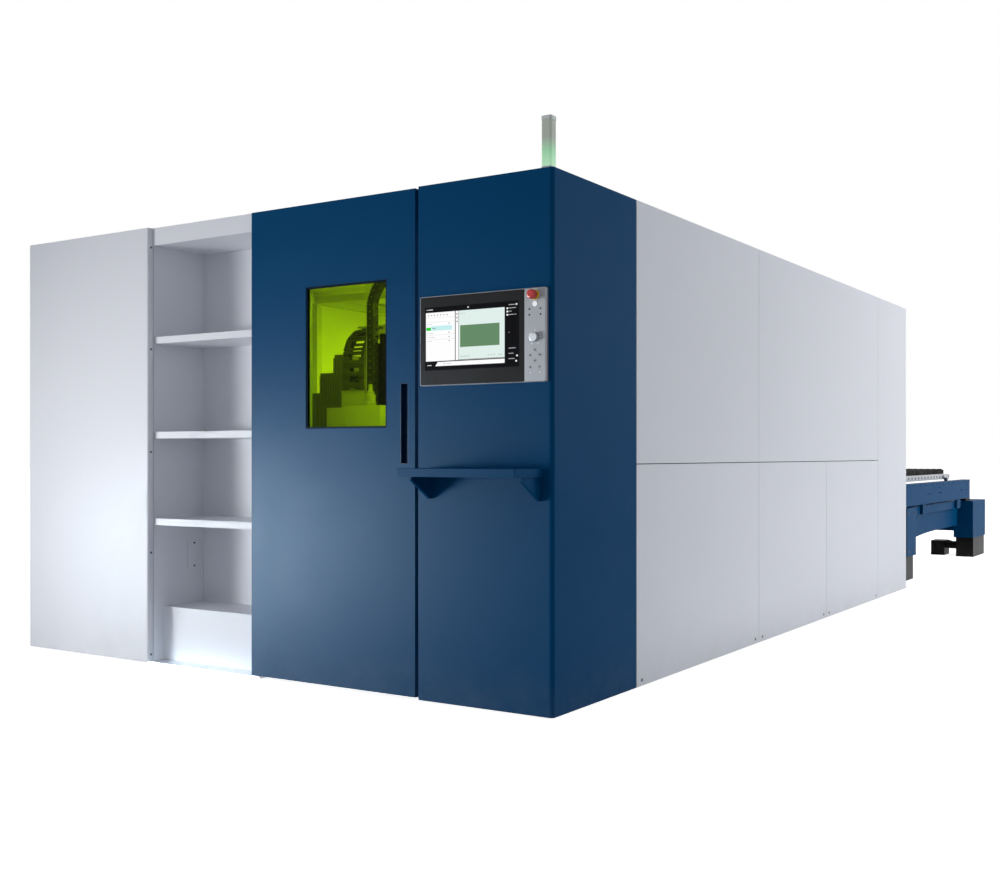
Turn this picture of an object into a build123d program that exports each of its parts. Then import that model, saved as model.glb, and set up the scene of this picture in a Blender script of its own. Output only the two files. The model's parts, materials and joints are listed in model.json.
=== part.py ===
from build123d import *
import math
import os

# Fiber laser cutting machine: a closed cabin with an operator front, and a two-level pallet changer behind it.
# Millimetres, +Z up, +X to the operator's right, +Y from the operator front to the changer.
# The origin is under the middle of the whole machine, on the floor.

# Cabin
CABIN_WIDTH = 3314
CABIN_DEPTH = 5500
CABIN_HEIGHT = 2200
MACHINE_DEPTH = 9425
PANEL_BOTTOM = 6
PANEL_DEPTH = 30
SHEET = 2.5
SEAM = 4
CORNER_RADIUS = 18
TUBE = 50
TUBE_WALL = 4
REST_GAP = 0.3
TOP_RAIL_TOP = 2165
ROOF_TOP = 2195
FRONT_RAIL = 60

# Front, measured from the cabin's right side
CORNER_PANEL = 667
DOOR_RIGHT = 683
DOOR_LEFT = 1645
NICHE_RIGHT = 1662
NICHE_LEFT = 2360
LEFT_PANEL = 2362
LEFT_PANEL_ROUND = 12

# Right side, measured from the operator front
SIDE_SEAM = 1012
CORNER_RETURN = 745
UPPER_SEAM = 2280
LOWER_SEAM = 3492
REAR_SEAM = 4700
LATCH_HEIGHT = 32
LATCH_INSET = 55
LATCH_LENGTH = 24
LATCH_WIDTH = 14

# Door
LEAF_BOTTOM = 14
LEAF_TOP = 2195
LEAF_DEPTH = 45
PIVOT_INSET = 23
PIVOT_DEPTH = 22
PIN_RADIUS = 6
PIN_CLEARANCE = 0.05
HINGE_HEIGHTS = (200, 1100, 2000)
HINGE_NOTCH = 44
HINGE_ARM_HEIGHT = 26
HINGE_ARM_WIDTH = 18
WINDOW_RIGHT = 837
WINDOW_LEFT = 1305
WINDOW_BOTTOM = 1172
WINDOW_TOP = 1818
WINDOW_FRAME = 30
SEAL_WIDTH = 8
PANE_FRONT = 8
PANE_THICKNESS = 6
GRIP_RIGHT = 721
GRIP_LEFT = 761
GRIP_BOTTOM = 1014
GRIP_TOP = 1362
GRIP_DEPTH = 30
GRIP_LINER = 2

# Niche
NICHE_DEPTH = 369
NICHE_CEILING = 2112
HEADER_FRONT = 27.5
FLOOR_PLATE = 10
FLOOR_PLATE_TONGUE = 1597
TONGUE_DEPTH = 55
SHELF_TOPS = (732, 1170, 1650)
SHELF_THICKNESS = 34
SHELF_FRONT = 35
SHELF_ROUND = 10
PLINTH_FRONT = 100
PLINTH_TOP = 280
SCREW_RADIUS = 5
SCREW_HEAD = 3
SCREW_HEIGHTS = (44, 559, 1068, 1587, 2102)
ACCESS_FRONT = 257
ACCESS_BACK = 346
ACCESS_BOTTOM = 462
ACCESS_TOP = 602
ACCESS_THICKNESS = 3

# Console
CONSOLE_DEPTH = 217
CONSOLE_RIGHT = 45
CONSOLE_LEFT = 616
CONSOLE_TOP = 998
CONSOLE_THICKNESS = 34
BRACKET_INSET = 10
BRACKET_THICKNESS = 12
BRACKET_REACH = 145
BRACKET_DROP = 96
BRACKET_LIP = 14
BRACKET_TOE = 14

# Operator panel
PANEL_RIGHT = 21
PANEL_LEFT = 639
PANEL_LOW = 1345
PANEL_HIGH = 1721
PANEL_PROUD = 23
PANEL_RIM = 2.5
PLATE_THICKNESS = 3.5
PLATE_SINK = 0.4
STRIP_LEFT = 119
CONTROL_LINE = 70
ESTOP_HEIGHT = 1692
ESTOP_RADIUS = 19
ESTOP_STEM = 11
ESTOP_PROUD = 38
ESTOP_HEAD = 22
COLLAR_RADIUS = 20
COLLAR_PROUD = 7
START_HEIGHT = 1656
START_RADIUS = 10
START_PROUD = 4
KNOB_HEIGHT = 1523
KNOB_RADIUS = 18
KNOB_PROUD = 18
KNOB_SHAFT = 4
CONTROL_CLEARANCE = 0.3
KEY_RADIUS = 7
KEY_PROUD = 1
KEY_PLACES = ((70, 1473), (92, 1452), (48, 1452), (70, 1429), (92, 1404), (48, 1404))

# Signal light
LIGHT_INSET = 75
LIGHT_SETBACK = 95
LIGHT_SIDE = 50
LIGHT_ROUND = 11
LIGHT_BASE_TOP = 2225
LENS_TOP = 2416
LIGHT_TOP = 2432

# Machine bed and its rails
BED_FRONT = 700
BED_BACK = 4900
BED_RIGHT = 100
BED_SIDE = 150
BED_LEFT = 2140
BED_TOP = 1080
BED_WALL = 12
BED_TIE_TOP = 200
RAIL_WIDTH = 40
RAIL_HEIGHT = 30
PAN_FRONT = 1500
PAN_BACK = 4600
PAN_LOW = 230
PAN_HIGH = 420
PAN_WALL = 4
RUNNER_WIDTH = 40

# Gantry, carriage and cutting head
BEAM_FRONT = 1310
BEAM_BACK = 1530
BEAM_LOW = 1209
BEAM_HIGH = 1330
BEAM_RIGHT = 110
BEAM_LEFT = 2298
TRUCK_WIDTH = 140
GANTRY_TRAVEL = 3000
CARRIAGE_CENTRE = 1850
CARRIAGE_WIDTH = 300
CARRIAGE_FRONT = 1180
CARRIAGE_LOW = 1140
CARRIAGE_HIGH = 1325
CARRIAGE_TRAVEL = 1480
RUNNING_GAP = 0.5
HEAD_WIDTH = 80
HEAD_FRONT = 1100
HEAD_LOW = 1010
HEAD_HIGH = 1330
NOZZLE_TIP = 921
POST_WIDTH = 40

# Energy chains
BED_CHAIN_RIGHT = 2026
BED_CHAIN_LEFT = 2190
BED_CHAIN_RADIUS = 190
BED_CHAIN_FRONT = 1300
BED_CHAIN_PITCH = 75
BED_CHAIN_HEIGHT = 60
BED_CHAIN_LINKS = 10
BED_BEND_LINKS = 7
CHAIN_WALL = 8
CHAIN_BAR = 26
TRAY_RIGHT = 2002
TRAY_LEFT = 2198
TRAY_LOW = 1335
TRAY_HIGH = 1430
TRAY_SPARE = 100
TRAY_POST_RIGHT = 2302
TRAY_POST_LEFT = 2345
GANTRY_CHAIN_RADIUS = 125
GANTRY_CHAIN_PITCH = 50
GANTRY_CHAIN_HEIGHT = 50
GANTRY_CHAIN_WIDTH = 90
GANTRY_CHAIN_FRONT = 1400
GANTRY_CHAIN_LOWER = 1
GANTRY_CHAIN_UPPER = 17
GANTRY_BEND_LINKS = 6
GANTRY_TRAY_TOP = 1835
GANTRY_TRAY_THICKNESS = 15

# Stepped cover beside the bed: left edge, right edge and top of each step
STEPS = ((2600, 2494, 1432), (2494, 2381, 1552), (2381, 2317, 1660))
STEP_FRONT = 1450
STEP_BACK = 1750
RAIL_OVERRUN = 150
TRAY_POSTS = (STEP_BACK, 3000, 4700)
RIB_PITCH = 18
RIB_DEPTH = 6

# Electrical cabinet and laser source
CABINET_RIGHT = 2640
CABINET_LEFT = CABIN_WIDTH - PANEL_DEPTH - TUBE - REST_GAP
CABINET_FRONT = 120
CABINET_BACK = 1380
CABINET_TOP = 2000
SOURCE_FRONT = 1820
SOURCE_BACK = 2900
SOURCE_TOP = 1250

# Rear opening and gate
OPENING_RIGHT = 205
OPENING_LEFT = 2035
OPENING_LOW = 440
OPENING_HIGH = 1180
GATE_FRONT = 5385
GATE_THICKNESS = 20
GATE_OVERLAP = 19
GATE_TRAVEL = 760
GATE_OPEN_LOW = 1190
GUIDE_WIDTH = 35
GUIDE_CLEARANCE = 0.3
GATE_SLOT_MARGIN = 10

# Pallet changer
CHANGER_RIGHT = 140
CHANGER_LEFT = 2100
PALLET_FRONT = 5540
PALLET_BACK = 8420
PALLET_RIGHT = 300
PALLET_LEFT = 1940
PALLET_BAR = 40
PALLET_LOW = 812
PALLET_HIGH = 863
LEVEL_PITCH = 200
PALLET_TRAVEL = 4090
SLAT_PITCH = 70
SLAT_THICKNESS = 5
SLAT_LOW = 840
SLAT_TIP = 915
TOOTH_DEPTH = 14
TOOTH_PITCH = 60
WHEEL_RADIUS = 30
WHEEL_WIDTH = 28
WHEEL_GAP = 6
AXLE_RADIUS = 10
SLAT_CLEARANCE = 4
WHEEL_INSET = 245
PALLET_RAIL_RIGHT = 250
PALLET_RAIL_WIDTH = 48
PALLET_RAIL_HEIGHT = 24

LIFT_BEAM_WIDTH = 60
LIFT_BEAM_LOW = 620
LIFT_BEAM_HIGH = 800
LIFT_BEAM_BACK = 8577
LIFT_FRONT = 5560
LIFT_RAIL_RIGHT = 225
LIFT_RAIL_LEFT = 298
LIFT_RAIL_HEIGHT = 36
LOWER_RAIL_HEIGHT = 75
LIFT_TIES = (5700, 6900, 8300)
TIE_LENGTH = 120
CROSS_PLATE = 24
BOLT_RADIUS = 9
BOLT_PITCH = 220
GUIDE_ROD = 18
ROD_CLEARANCE = 0.5
ROD_LENGTH = 460
ARM_HEIGHT = 40

BASE_BEAM_RIGHT = 300
BASE_BEAM_LEFT = 345
BASE_BEAM_LOW = 328
BASE_BEAM_BACK = 8799
LEG_FRONT = 6100
LEG_BACK = 6400
LEG_HIGH = 606
FOOT_HIGH = 200
LEG_ARCH_LENGTH = 1500
LEG_ARCH_HEIGHT = 126
END_BOX_RIGHT = 150
END_BOX_LEFT = 340
END_BOX_FRONT = 8800
END_BOX_HIGH = 578
END_BOX_WALL = 8
FOOT_INSET = 10
FOOT_BACK_INSET = 60
FRONT_COLUMN = CABIN_DEPTH + REST_GAP
COLUMN_RIGHT = 205
COLUMN_WIDTH = 50
COLUMN_TOP = 756
REAR_COLUMN_RIGHT = 225
REAR_COLUMN_WIDTH = 75
REAR_COLUMN_FRONT = 8820
REAR_COLUMN_BACK = 9017
END_TIE_BACK = 150
END_TIE_DEPTH = 150
END_TIE_SPAN = (250, 400)
MOTOR_RIGHT = END_BOX_LEFT - FOOT_INSET + REST_GAP
MOTOR_LEFT = 465
MOTOR_RADIUS = 36
MOTOR_LINE = 9000
MOTOR_HEIGHT = 109
MOTOR_BASE_LEFT = 600
MOTOR_BASE_TOP = 150

RIGHT = CABIN_WIDTH / 2
FRONT = CONSOLE_DEPTH - (CONSOLE_DEPTH + MACHINE_DEPTH) / 2
PALLET_MIDDLE = (CHANGER_RIGHT + CHANGER_LEFT) / 2
DIRECTIONS = {"X": 0, "Y": 1, "Z": 2}

os.makedirs("parts", exist_ok=True)


def across(first, second):
    """Span along X between two distances from the cabin's right side."""
    return (RIGHT - max(first, second), RIGHT - min(first, second))


def along(first, second):
    """Span along Y between two distances behind the operator front."""
    return (FRONT + min(first, second), FRONT + max(first, second))


def mirrored(first, second):
    """Span along X on the changer's left side, as far from its middle line as the right one."""
    return across(2 * PALLET_MIDDLE - first, 2 * PALLET_MIDDLE - second)


def both_sides(first, second):
    """The right and left spans along X of a pair of like pieces of the changer."""
    return (across(first, second), mirrored(first, second))


def block(x_span, y_span, z_span, mode=Mode.ADD):
    """Adds or cuts the box between the ends of three spans."""
    spans = (x_span, y_span, z_span)
    with Locations(tuple((low + high) / 2 for low, high in spans)):
        Box(*(high - low for low, high in spans), mode=mode)


def folded_panel(x_span, y_span, z_span, open_side, sheet=SHEET):
    """Adds a sheet panel with folded returns, open towards one side such as '+Y'."""
    block(x_span, y_span, z_span)
    hollow = [[low + sheet, high - sheet] for low, high in (x_span, y_span, z_span)]
    direction = DIRECTIONS[open_side[1]]
    if open_side[0] == "+":
        hollow[direction][1] += 2 * sheet
    else:
        hollow[direction][0] -= 2 * sheet
    block(*hollow, mode=Mode.SUBTRACT)


def box_tube(x_span, y_span, z_span, run, wall=TUBE_WALL):
    """Adds a box tube with open ends that runs along X, Y or Z."""
    block(x_span, y_span, z_span)
    bore = [[low + wall, high - wall] for low, high in (x_span, y_span, z_span)]
    bore[DIRECTIONS[run]][0] -= 2 * wall
    bore[DIRECTIONS[run]][1] += 2 * wall
    block(*bore, mode=Mode.SUBTRACT)


def rod(centre, radius, length, direction, mode=Mode.ADD):
    """Adds or cuts a round bar that starts at a point and runs along a direction."""
    with BuildSketch(Plane(origin=centre, z_dir=direction)) as section:
        Circle(radius)
    extrude(section.sketch, amount=length, mode=mode)


def save(name, label):
    """Labels a finished piece and writes it."""
    name.part.label = label
    export_step(name.part, f"parts/{label}.step")


# Cabin frame: box tubes with a hairline between them, so each stays a tube of its own
SIDE_POSTS = (PANEL_DEPTH, CORNER_RETURN - TUBE / 2, UPPER_SEAM - TUBE / 2, LOWER_SEAM - TUBE / 2,
              REAR_SEAM - TUBE / 2, CABIN_DEPTH - PANEL_DEPTH - TUBE)
RIGHT_TUBE = (PANEL_DEPTH, PANEL_DEPTH + TUBE)
LEFT_TUBE = (CABIN_WIDTH - PANEL_DEPTH - TUBE, CABIN_WIDTH - PANEL_DEPTH)
TOP_RAIL = (TOP_RAIL_TOP - TUBE, TOP_RAIL_TOP)
POST_SPAN = (TUBE + REST_GAP, TOP_RAIL[0] - REST_GAP)
BETWEEN_SIDES = across(RIGHT_TUBE[1] + REST_GAP, LEFT_TUBE[0] - REST_GAP)
FRONT_RAIL_SPAN = along(FRONT_RAIL, FRONT_RAIL + TUBE)
HINGE_POST = (NICHE_RIGHT - SHEET - REST_GAP - TUBE, NICHE_RIGHT - SHEET - REST_GAP)
LATCH_POST = (CORNER_PANEL - TUBE, CORNER_PANEL)
NICHE_POST = (LEFT_PANEL + SHEET + REST_GAP, LEFT_PANEL + SHEET + REST_GAP + TUBE)
REAR_POSTS = ((OPENING_RIGHT - 5 - TUBE, OPENING_RIGHT - 5), (OPENING_LEFT + 5, OPENING_LEFT + 5 + TUBE))
REAR_TUBE_SPAN = along(CABIN_DEPTH - PANEL_DEPTH - TUBE, CABIN_DEPTH - PANEL_DEPTH)
PIVOT = DOOR_LEFT - PIVOT_INSET

with BuildPart() as cabin_frame:
    for tube in (RIGHT_TUBE, LEFT_TUBE):
        for rail in ((0, TUBE), TOP_RAIL):
            box_tube(across(*tube), along(PANEL_DEPTH, CABIN_DEPTH - PANEL_DEPTH), rail, "Y")
        for post in SIDE_POSTS:
            box_tube(across(*tube), along(post, post + TUBE), POST_SPAN, "Z")
    for post in SIDE_POSTS[1:-1]:
        box_tube(BETWEEN_SIDES, along(post, post + TUBE), TOP_RAIL, "X")
    box_tube(BETWEEN_SIDES, FRONT_RAIL_SPAN, TOP_RAIL, "X")
    box_tube(BETWEEN_SIDES, REAR_TUBE_SPAN, TOP_RAIL, "X")
    box_tube(across(RIGHT_TUBE[1] + REST_GAP, LATCH_POST[0] - REST_GAP), along(PANEL_DEPTH, PANEL_DEPTH + TUBE),
             (0, TUBE), "X")
    box_tube(across(LATCH_POST[1] + REST_GAP, HINGE_POST[0] - REST_GAP), FRONT_RAIL_SPAN, (0, TUBE), "X")
    box_tube(across(NICHE_POST[1] + REST_GAP, LEFT_TUBE[0] - REST_GAP), along(PANEL_DEPTH, PANEL_DEPTH + TUBE),
             (0, TUBE), "X")
    box_tube(across(*LATCH_POST), along(PANEL_DEPTH, PANEL_DEPTH + TUBE), (0, POST_SPAN[1]), "Z")
    box_tube(across(*NICHE_POST), along(PANEL_DEPTH, PANEL_DEPTH + TUBE), (0, POST_SPAN[1]), "Z")
    box_tube(across(*HINGE_POST), FRONT_RAIL_SPAN, (0, POST_SPAN[1]), "Z")
    for post in REAR_POSTS:
        box_tube(across(*post), REAR_TUBE_SPAN, (0, POST_SPAN[1]), "Z")
    for low in (OPENING_LOW - TUBE, OPENING_HIGH):
        box_tube(across(REAR_POSTS[0][1] + REST_GAP, REAR_POSTS[1][0] - REST_GAP), REAR_TUBE_SPAN,
                 (low, low + TUBE), "X")
    # hinge arms reach forward from the hinge post, each with a bore for the door's pin
    for height in HINGE_HEIGHTS:
        arm = (height - HINGE_ARM_HEIGHT / 2, height + HINGE_ARM_HEIGHT / 2)
        block(across(PIVOT - HINGE_ARM_WIDTH / 2, PIVOT + HINGE_ARM_WIDTH / 2), along(PIVOT_DEPTH, FRONT_RAIL), arm)
        pivot = (RIGHT - PIVOT, FRONT + PIVOT_DEPTH, arm[0])
        rod(pivot, HINGE_ARM_WIDTH / 2, HINGE_ARM_HEIGHT, (0, 0, 1))
        rod(pivot, PIN_RADIUS + PIN_CLEARANCE, HINGE_ARM_HEIGHT, (0, 0, 1), mode=Mode.SUBTRACT)
save(cabin_frame, "cabin_frame")

ROOF_SEAMS = (FRONT_RAIL, 1850, 3650, CABIN_DEPTH - PANEL_DEPTH - SEAM)
ROOF_SPAN = (TOP_RAIL_TOP, ROOF_TOP)
with BuildPart() as roof_panels:
    for front, back in zip(ROOF_SEAMS, ROOF_SEAMS[1:]):
        folded_panel(across(PANEL_DEPTH + SEAM, CABIN_WIDTH - PANEL_DEPTH - SEAM), along(front, back - SEAM),
                     ROOF_SPAN, "-Z")
    folded_panel(across(DOOR_LEFT + 12, CABIN_WIDTH - PANEL_DEPTH - SEAM),
                 along(PANEL_DEPTH + SEAM, FRONT_RAIL - SEAM / 2), ROOF_SPAN, "-Z")
save(roof_panels, "roof_panels")

# Cabin panels
with BuildPart() as corner_panel:
    wall_line = SHEET / 2
    corners = ((CORNER_PANEL - wall_line, PANEL_DEPTH), (CORNER_PANEL - wall_line, wall_line), (wall_line, wall_line),
               (wall_line, CORNER_RETURN - SEAM / 2 - wall_line), (PANEL_DEPTH, CORNER_RETURN - SEAM / 2 - wall_line))
    with BuildSketch(Plane.XY.offset(PANEL_BOTTOM)):
        with BuildLine():
            FilletPolyline(*((RIGHT - s, FRONT + p) for s, p in corners),
                           radius=[SHEET, CORNER_RADIUS - wall_line, SHEET])
        trace(line_width=SHEET)
    extrude(amount=CABIN_HEIGHT - PANEL_BOTTOM)
    # top return, from the sheet back to the roof
    block(across(SHEET / 2 + CORNER_RADIUS / 2, CORNER_PANEL - SHEET / 2),
          along(SHEET / 2, FRONT_RAIL - SEAM / 2), (CABIN_HEIGHT - SHEET, CABIN_HEIGHT))
save(corner_panel, "corner_panel")

with BuildPart() as left_front_panel:
    x_span = across(LEFT_PANEL, CABIN_WIDTH)
    y_span = along(0, PANEL_DEPTH)
    with BuildSketch(Plane.XY.offset(PANEL_BOTTOM)):
        with Locations((sum(x_span) / 2, sum(y_span) / 2)):
            Rectangle(x_span[1] - x_span[0], PANEL_DEPTH)
    extrude(amount=CABIN_HEIGHT - PANEL_BOTTOM)
    niche_edge = left_front_panel.edges().filter_by(Axis.Z).group_by(Axis.Y)[0].sort_by(Axis.X)[-1]
    fillet(niche_edge, radius=LEFT_PANEL_ROUND)
    block((x_span[0] + SHEET, x_span[1] - LEFT_PANEL_ROUND), (y_span[0] + SHEET, y_span[1] + SHEET),
          (PANEL_BOTTOM + SHEET, CABIN_HEIGHT - SHEET), mode=Mode.SUBTRACT)
save(left_front_panel, "left_front_panel")


def side_panel(front, back, low, high):
    """Adds a right side panel between seams, with half a seam left free on each edge."""
    folded_panel(across(0, PANEL_DEPTH), along(front + SEAM / 2, back - SEAM / 2), (low, high), "-X")


def latch_places(front, back):
    """Distances behind the front of a lower panel's two latches."""
    return (front + LATCH_INSET, back - LATCH_INSET)


def latch_slots(places, grow, depth, mode):
    """Adds or cuts rounded slots in the right side face, for the latches."""
    with BuildSketch(Plane.YZ.offset(RIGHT - depth)) as slots:
        with Locations(*((FRONT + place, LATCH_HEIGHT) for place in places)):
            SlotOverall(LATCH_LENGTH + 2 * grow, LATCH_WIDTH + 2 * grow)
    extrude(slots.sketch, amount=depth - (0 if mode == Mode.SUBTRACT else PLATE_SINK), mode=mode)


LOWER_PANELS = ((CORNER_RETURN, UPPER_SEAM), (UPPER_SEAM, LOWER_SEAM), (LOWER_SEAM, REAR_SEAM))
LATCHES = [place for panel in LOWER_PANELS for place in latch_places(*panel)]

with BuildPart() as side_upper_panels:
    side_panel(CORNER_RETURN, UPPER_SEAM, SIDE_SEAM + SEAM / 2, CABIN_HEIGHT)
    side_panel(UPPER_SEAM, REAR_SEAM, SIDE_SEAM + SEAM / 2, CABIN_HEIGHT)
save(side_upper_panels, "side_upper_panels")

with BuildPart() as side_lower_panels:
    for front, back in LOWER_PANELS:
        side_panel(front, back, PANEL_BOTTOM, SIDE_SEAM - SEAM / 2)
    latch_slots(LATCHES, CONTROL_CLEARANCE, PANEL_DEPTH / 2, Mode.SUBTRACT)
save(side_lower_panels, "side_lower_panels")

with BuildPart() as side_rear_panel:
    side_panel(REAR_SEAM, CABIN_DEPTH + SEAM / 2, PANEL_BOTTOM, CABIN_HEIGHT)
save(side_rear_panel, "side_rear_panel")

LEFT_SEAMS = (PANEL_DEPTH, 1850, 3650, CABIN_DEPTH + SEAM / 2)
with BuildPart() as left_side_panels:
    for front, back in zip(LEFT_SEAMS, LEFT_SEAMS[1:]):
        folded_panel(across(CABIN_WIDTH - PANEL_DEPTH, CABIN_WIDTH), along(front + SEAM / 2, back - SEAM / 2),
                     (PANEL_BOTTOM, CABIN_HEIGHT), "+X")
save(left_side_panels, "left_side_panels")

REAR_SKIN = along(CABIN_DEPTH - PANEL_DEPTH, CABIN_DEPTH)
REAR_RIGHT_EDGE = PANEL_DEPTH + SEAM / 2
REAR_LEFT_EDGE = CABIN_WIDTH - PANEL_DEPTH - SEAM / 2
with BuildPart() as rear_wall_panels:
    folded_panel(across(REAR_RIGHT_EDGE, OPENING_RIGHT), REAR_SKIN, (PANEL_BOTTOM, CABIN_HEIGHT), "-Y")
    folded_panel(across(OPENING_LEFT, REAR_LEFT_EDGE), REAR_SKIN, (PANEL_BOTTOM, CABIN_HEIGHT), "-Y")
    for low, high in ((PANEL_BOTTOM, OPENING_LOW), (OPENING_HIGH, CABIN_HEIGHT)):
        folded_panel(across(OPENING_RIGHT + SEAM, OPENING_LEFT - SEAM), REAR_SKIN, (low, high), "-Y")
save(rear_wall_panels, "rear_wall_panels")

with BuildPart() as panel_fasteners:
    latch_slots(LATCHES, 0, PANEL_DEPTH / 2, Mode.ADD)
    for height in SCREW_HEIGHTS:
        rod((RIGHT - LEFT_PANEL, FRONT + LEFT_PANEL_ROUND + SCREW_RADIUS, height), SCREW_RADIUS, SCREW_HEAD, (1, 0, 0))
    for height in (ACCESS_BOTTOM + 2 * SCREW_RADIUS, ACCESS_TOP - 2 * SCREW_RADIUS):
        rod((RIGHT - NICHE_LEFT + ACCESS_THICKNESS, FRONT + (ACCESS_FRONT + ACCESS_BACK) / 2, height), SCREW_RADIUS,
            SCREW_HEAD, (1, 0, 0))
save(panel_fasteners, "panel_fasteners")

# Niche
WALL_SPAN = (FLOOR_PLATE + REST_GAP, NICHE_CEILING - REST_GAP)
with BuildPart() as niche_walls:
    block(across(NICHE_LEFT, NICHE_LEFT + SHEET), along(PANEL_DEPTH + SHEET, NICHE_DEPTH), WALL_SPAN)
    block(across(NICHE_RIGHT - SHEET, NICHE_RIGHT), along(FRONT_RAIL + REST_GAP, NICHE_DEPTH), WALL_SPAN)
    block(across(NICHE_RIGHT - SHEET, NICHE_LEFT + SHEET),
          along(NICHE_DEPTH + REST_GAP, NICHE_DEPTH + REST_GAP + SHEET), WALL_SPAN)
    block(across(NICHE_RIGHT - SHEET, NICHE_LEFT + SHEET), along(PANEL_DEPTH + REST_GAP, NICHE_DEPTH + SHEET),
          (NICHE_CEILING, NICHE_CEILING + SHEET))
    block(across(DOOR_LEFT + 12, LEFT_PANEL - REST_GAP), along(HEADER_FRONT, PANEL_DEPTH),
          (NICHE_CEILING, CABIN_HEIGHT))
    # access plate on the left wall
    block(across(NICHE_LEFT - ACCESS_THICKNESS, NICHE_LEFT), along(ACCESS_FRONT, ACCESS_BACK),
          (ACCESS_BOTTOM, ACCESS_TOP))
save(niche_walls, "niche_walls")

SHELF_SPAN = across(NICHE_RIGHT + REST_GAP, NICHE_LEFT - REST_GAP)
with BuildPart() as niche_shelves:
    for top in SHELF_TOPS:
        folded_panel(SHELF_SPAN, along(SHELF_FRONT, NICHE_DEPTH), (top - SHELF_THICKNESS, top), "+Y")
    shelf_corners = niche_shelves.edges().filter_by(Axis.Z).group_by(Axis.Y)[0]
    fillet(shelf_corners, radius=SHELF_ROUND)
save(niche_shelves, "niche_shelves")

with BuildPart() as niche_plinth:
    folded_panel(SHELF_SPAN, along(PLINTH_FRONT, NICHE_DEPTH), (FLOOR_PLATE, PLINTH_TOP), "+Y")
save(niche_plinth, "niche_plinth")

with BuildPart() as niche_floor_plate:
    block(across(NICHE_RIGHT - SHEET, LEFT_PANEL - REST_GAP), along(0, NICHE_DEPTH), (0, FLOOR_PLATE))
    block(across(FLOOR_PLATE_TONGUE, NICHE_RIGHT), along(0, TONGUE_DEPTH), (0, FLOOR_PLATE))
save(niche_floor_plate, "niche_floor_plate")

# Console shelf and its gussets
CONSOLE_SPAN = (CONSOLE_TOP - CONSOLE_THICKNESS, CONSOLE_TOP)
with BuildPart() as console_shelf:
    folded_panel(across(CONSOLE_RIGHT, CONSOLE_LEFT), (FRONT - CONSOLE_DEPTH, FRONT), CONSOLE_SPAN, "-Z")
    fillet(console_shelf.edges().filter_by(Axis.Z).group_by(Axis.Y)[0], radius=SHEET)
save(console_shelf, "console_shelf")

with BuildPart() as console_brackets:
    low = CONSOLE_SPAN[0]
    outline = ((FRONT, low), (FRONT - BRACKET_REACH, low), (FRONT - BRACKET_REACH, low - BRACKET_LIP),
               (FRONT - BRACKET_TOE, low - BRACKET_DROP), (FRONT, low - BRACKET_DROP))
    for edge in (CONSOLE_RIGHT + BRACKET_INSET + BRACKET_THICKNESS, CONSOLE_LEFT - BRACKET_INSET):
        with BuildSketch(Plane.YZ.offset(RIGHT - edge)):
            Polygon(*outline, align=None)
        extrude(amount=BRACKET_THICKNESS)
save(console_brackets, "console_brackets")

# Operator panel
FACE = FRONT - PANEL_PROUD
PLATE_SPAN = (FACE + PLATE_SINK, FACE + PLATE_SINK + PLATE_THICKNESS)
RECESS_BACK = PLATE_SPAN[1] + REST_GAP / 3
BACK_WALL = RECESS_BACK + SHEET
OUTWARD = (0, -1, 0)


def control_bore(height, radius, mode=Mode.SUBTRACT):
    """Cuts a bore on the control line through the strip and the panel's wall."""
    rod((RIGHT - CONTROL_LINE, FRONT - SHEET, height), radius, PANEL_PROUD, OUTWARD, mode=mode)


with BuildPart() as operator_panel:
    block(across(PANEL_RIGHT, PANEL_LEFT), (FACE, FRONT), (PANEL_LOW, PANEL_HIGH))
    fillet(operator_panel.edges().filter_by(Axis.Y), radius=2 * PANEL_RIM)
    fillet(operator_panel.faces().sort_by(Axis.Y)[0].edges(), radius=PANEL_RIM / 3)
    block(across(PANEL_RIGHT + PANEL_RIM, PANEL_LEFT - PANEL_RIM), (FACE, RECESS_BACK),
          (PANEL_LOW + PANEL_RIM, PANEL_HIGH - PANEL_RIM), mode=Mode.SUBTRACT)
    block(across(PANEL_RIGHT + PANEL_RIM, PANEL_LEFT - PANEL_RIM), (BACK_WALL, FRONT),
          (PANEL_LOW + PANEL_RIM, PANEL_HIGH - PANEL_RIM), mode=Mode.SUBTRACT)
    control_bore(ESTOP_HEIGHT, ESTOP_STEM + CONTROL_CLEARANCE)
    control_bore(START_HEIGHT, START_RADIUS + CONTROL_CLEARANCE)
    control_bore(KNOB_HEIGHT, KNOB_SHAFT + CONTROL_CLEARANCE)
save(operator_panel, "operator_panel")

PLATE_HEIGHT = (PANEL_LOW + PANEL_RIM + REST_GAP, PANEL_HIGH - PANEL_RIM - REST_GAP)
with BuildPart() as operator_screen:
    block(across(STRIP_LEFT + REST_GAP, PANEL_LEFT - PANEL_RIM - REST_GAP), PLATE_SPAN, PLATE_HEIGHT)
save(operator_screen, "operator_screen")

with BuildPart() as keypad_strip:
    block(across(PANEL_RIGHT + PANEL_RIM + REST_GAP, STRIP_LEFT), PLATE_SPAN, PLATE_HEIGHT)
    with BuildSketch(Plane.XZ.offset(-PLATE_SPAN[0])) as keys:
        with Locations(*((RIGHT - s, height) for s, height in KEY_PLACES)):
            Circle(KEY_RADIUS)
    extrude(keys.sketch, amount=KEY_PROUD)
    control_bore(ESTOP_HEIGHT, ESTOP_STEM + CONTROL_CLEARANCE)
    control_bore(START_HEIGHT, START_RADIUS + CONTROL_CLEARANCE)
    control_bore(KNOB_HEIGHT, KNOB_SHAFT + CONTROL_CLEARANCE)
save(keypad_strip, "keypad_strip")

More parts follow.
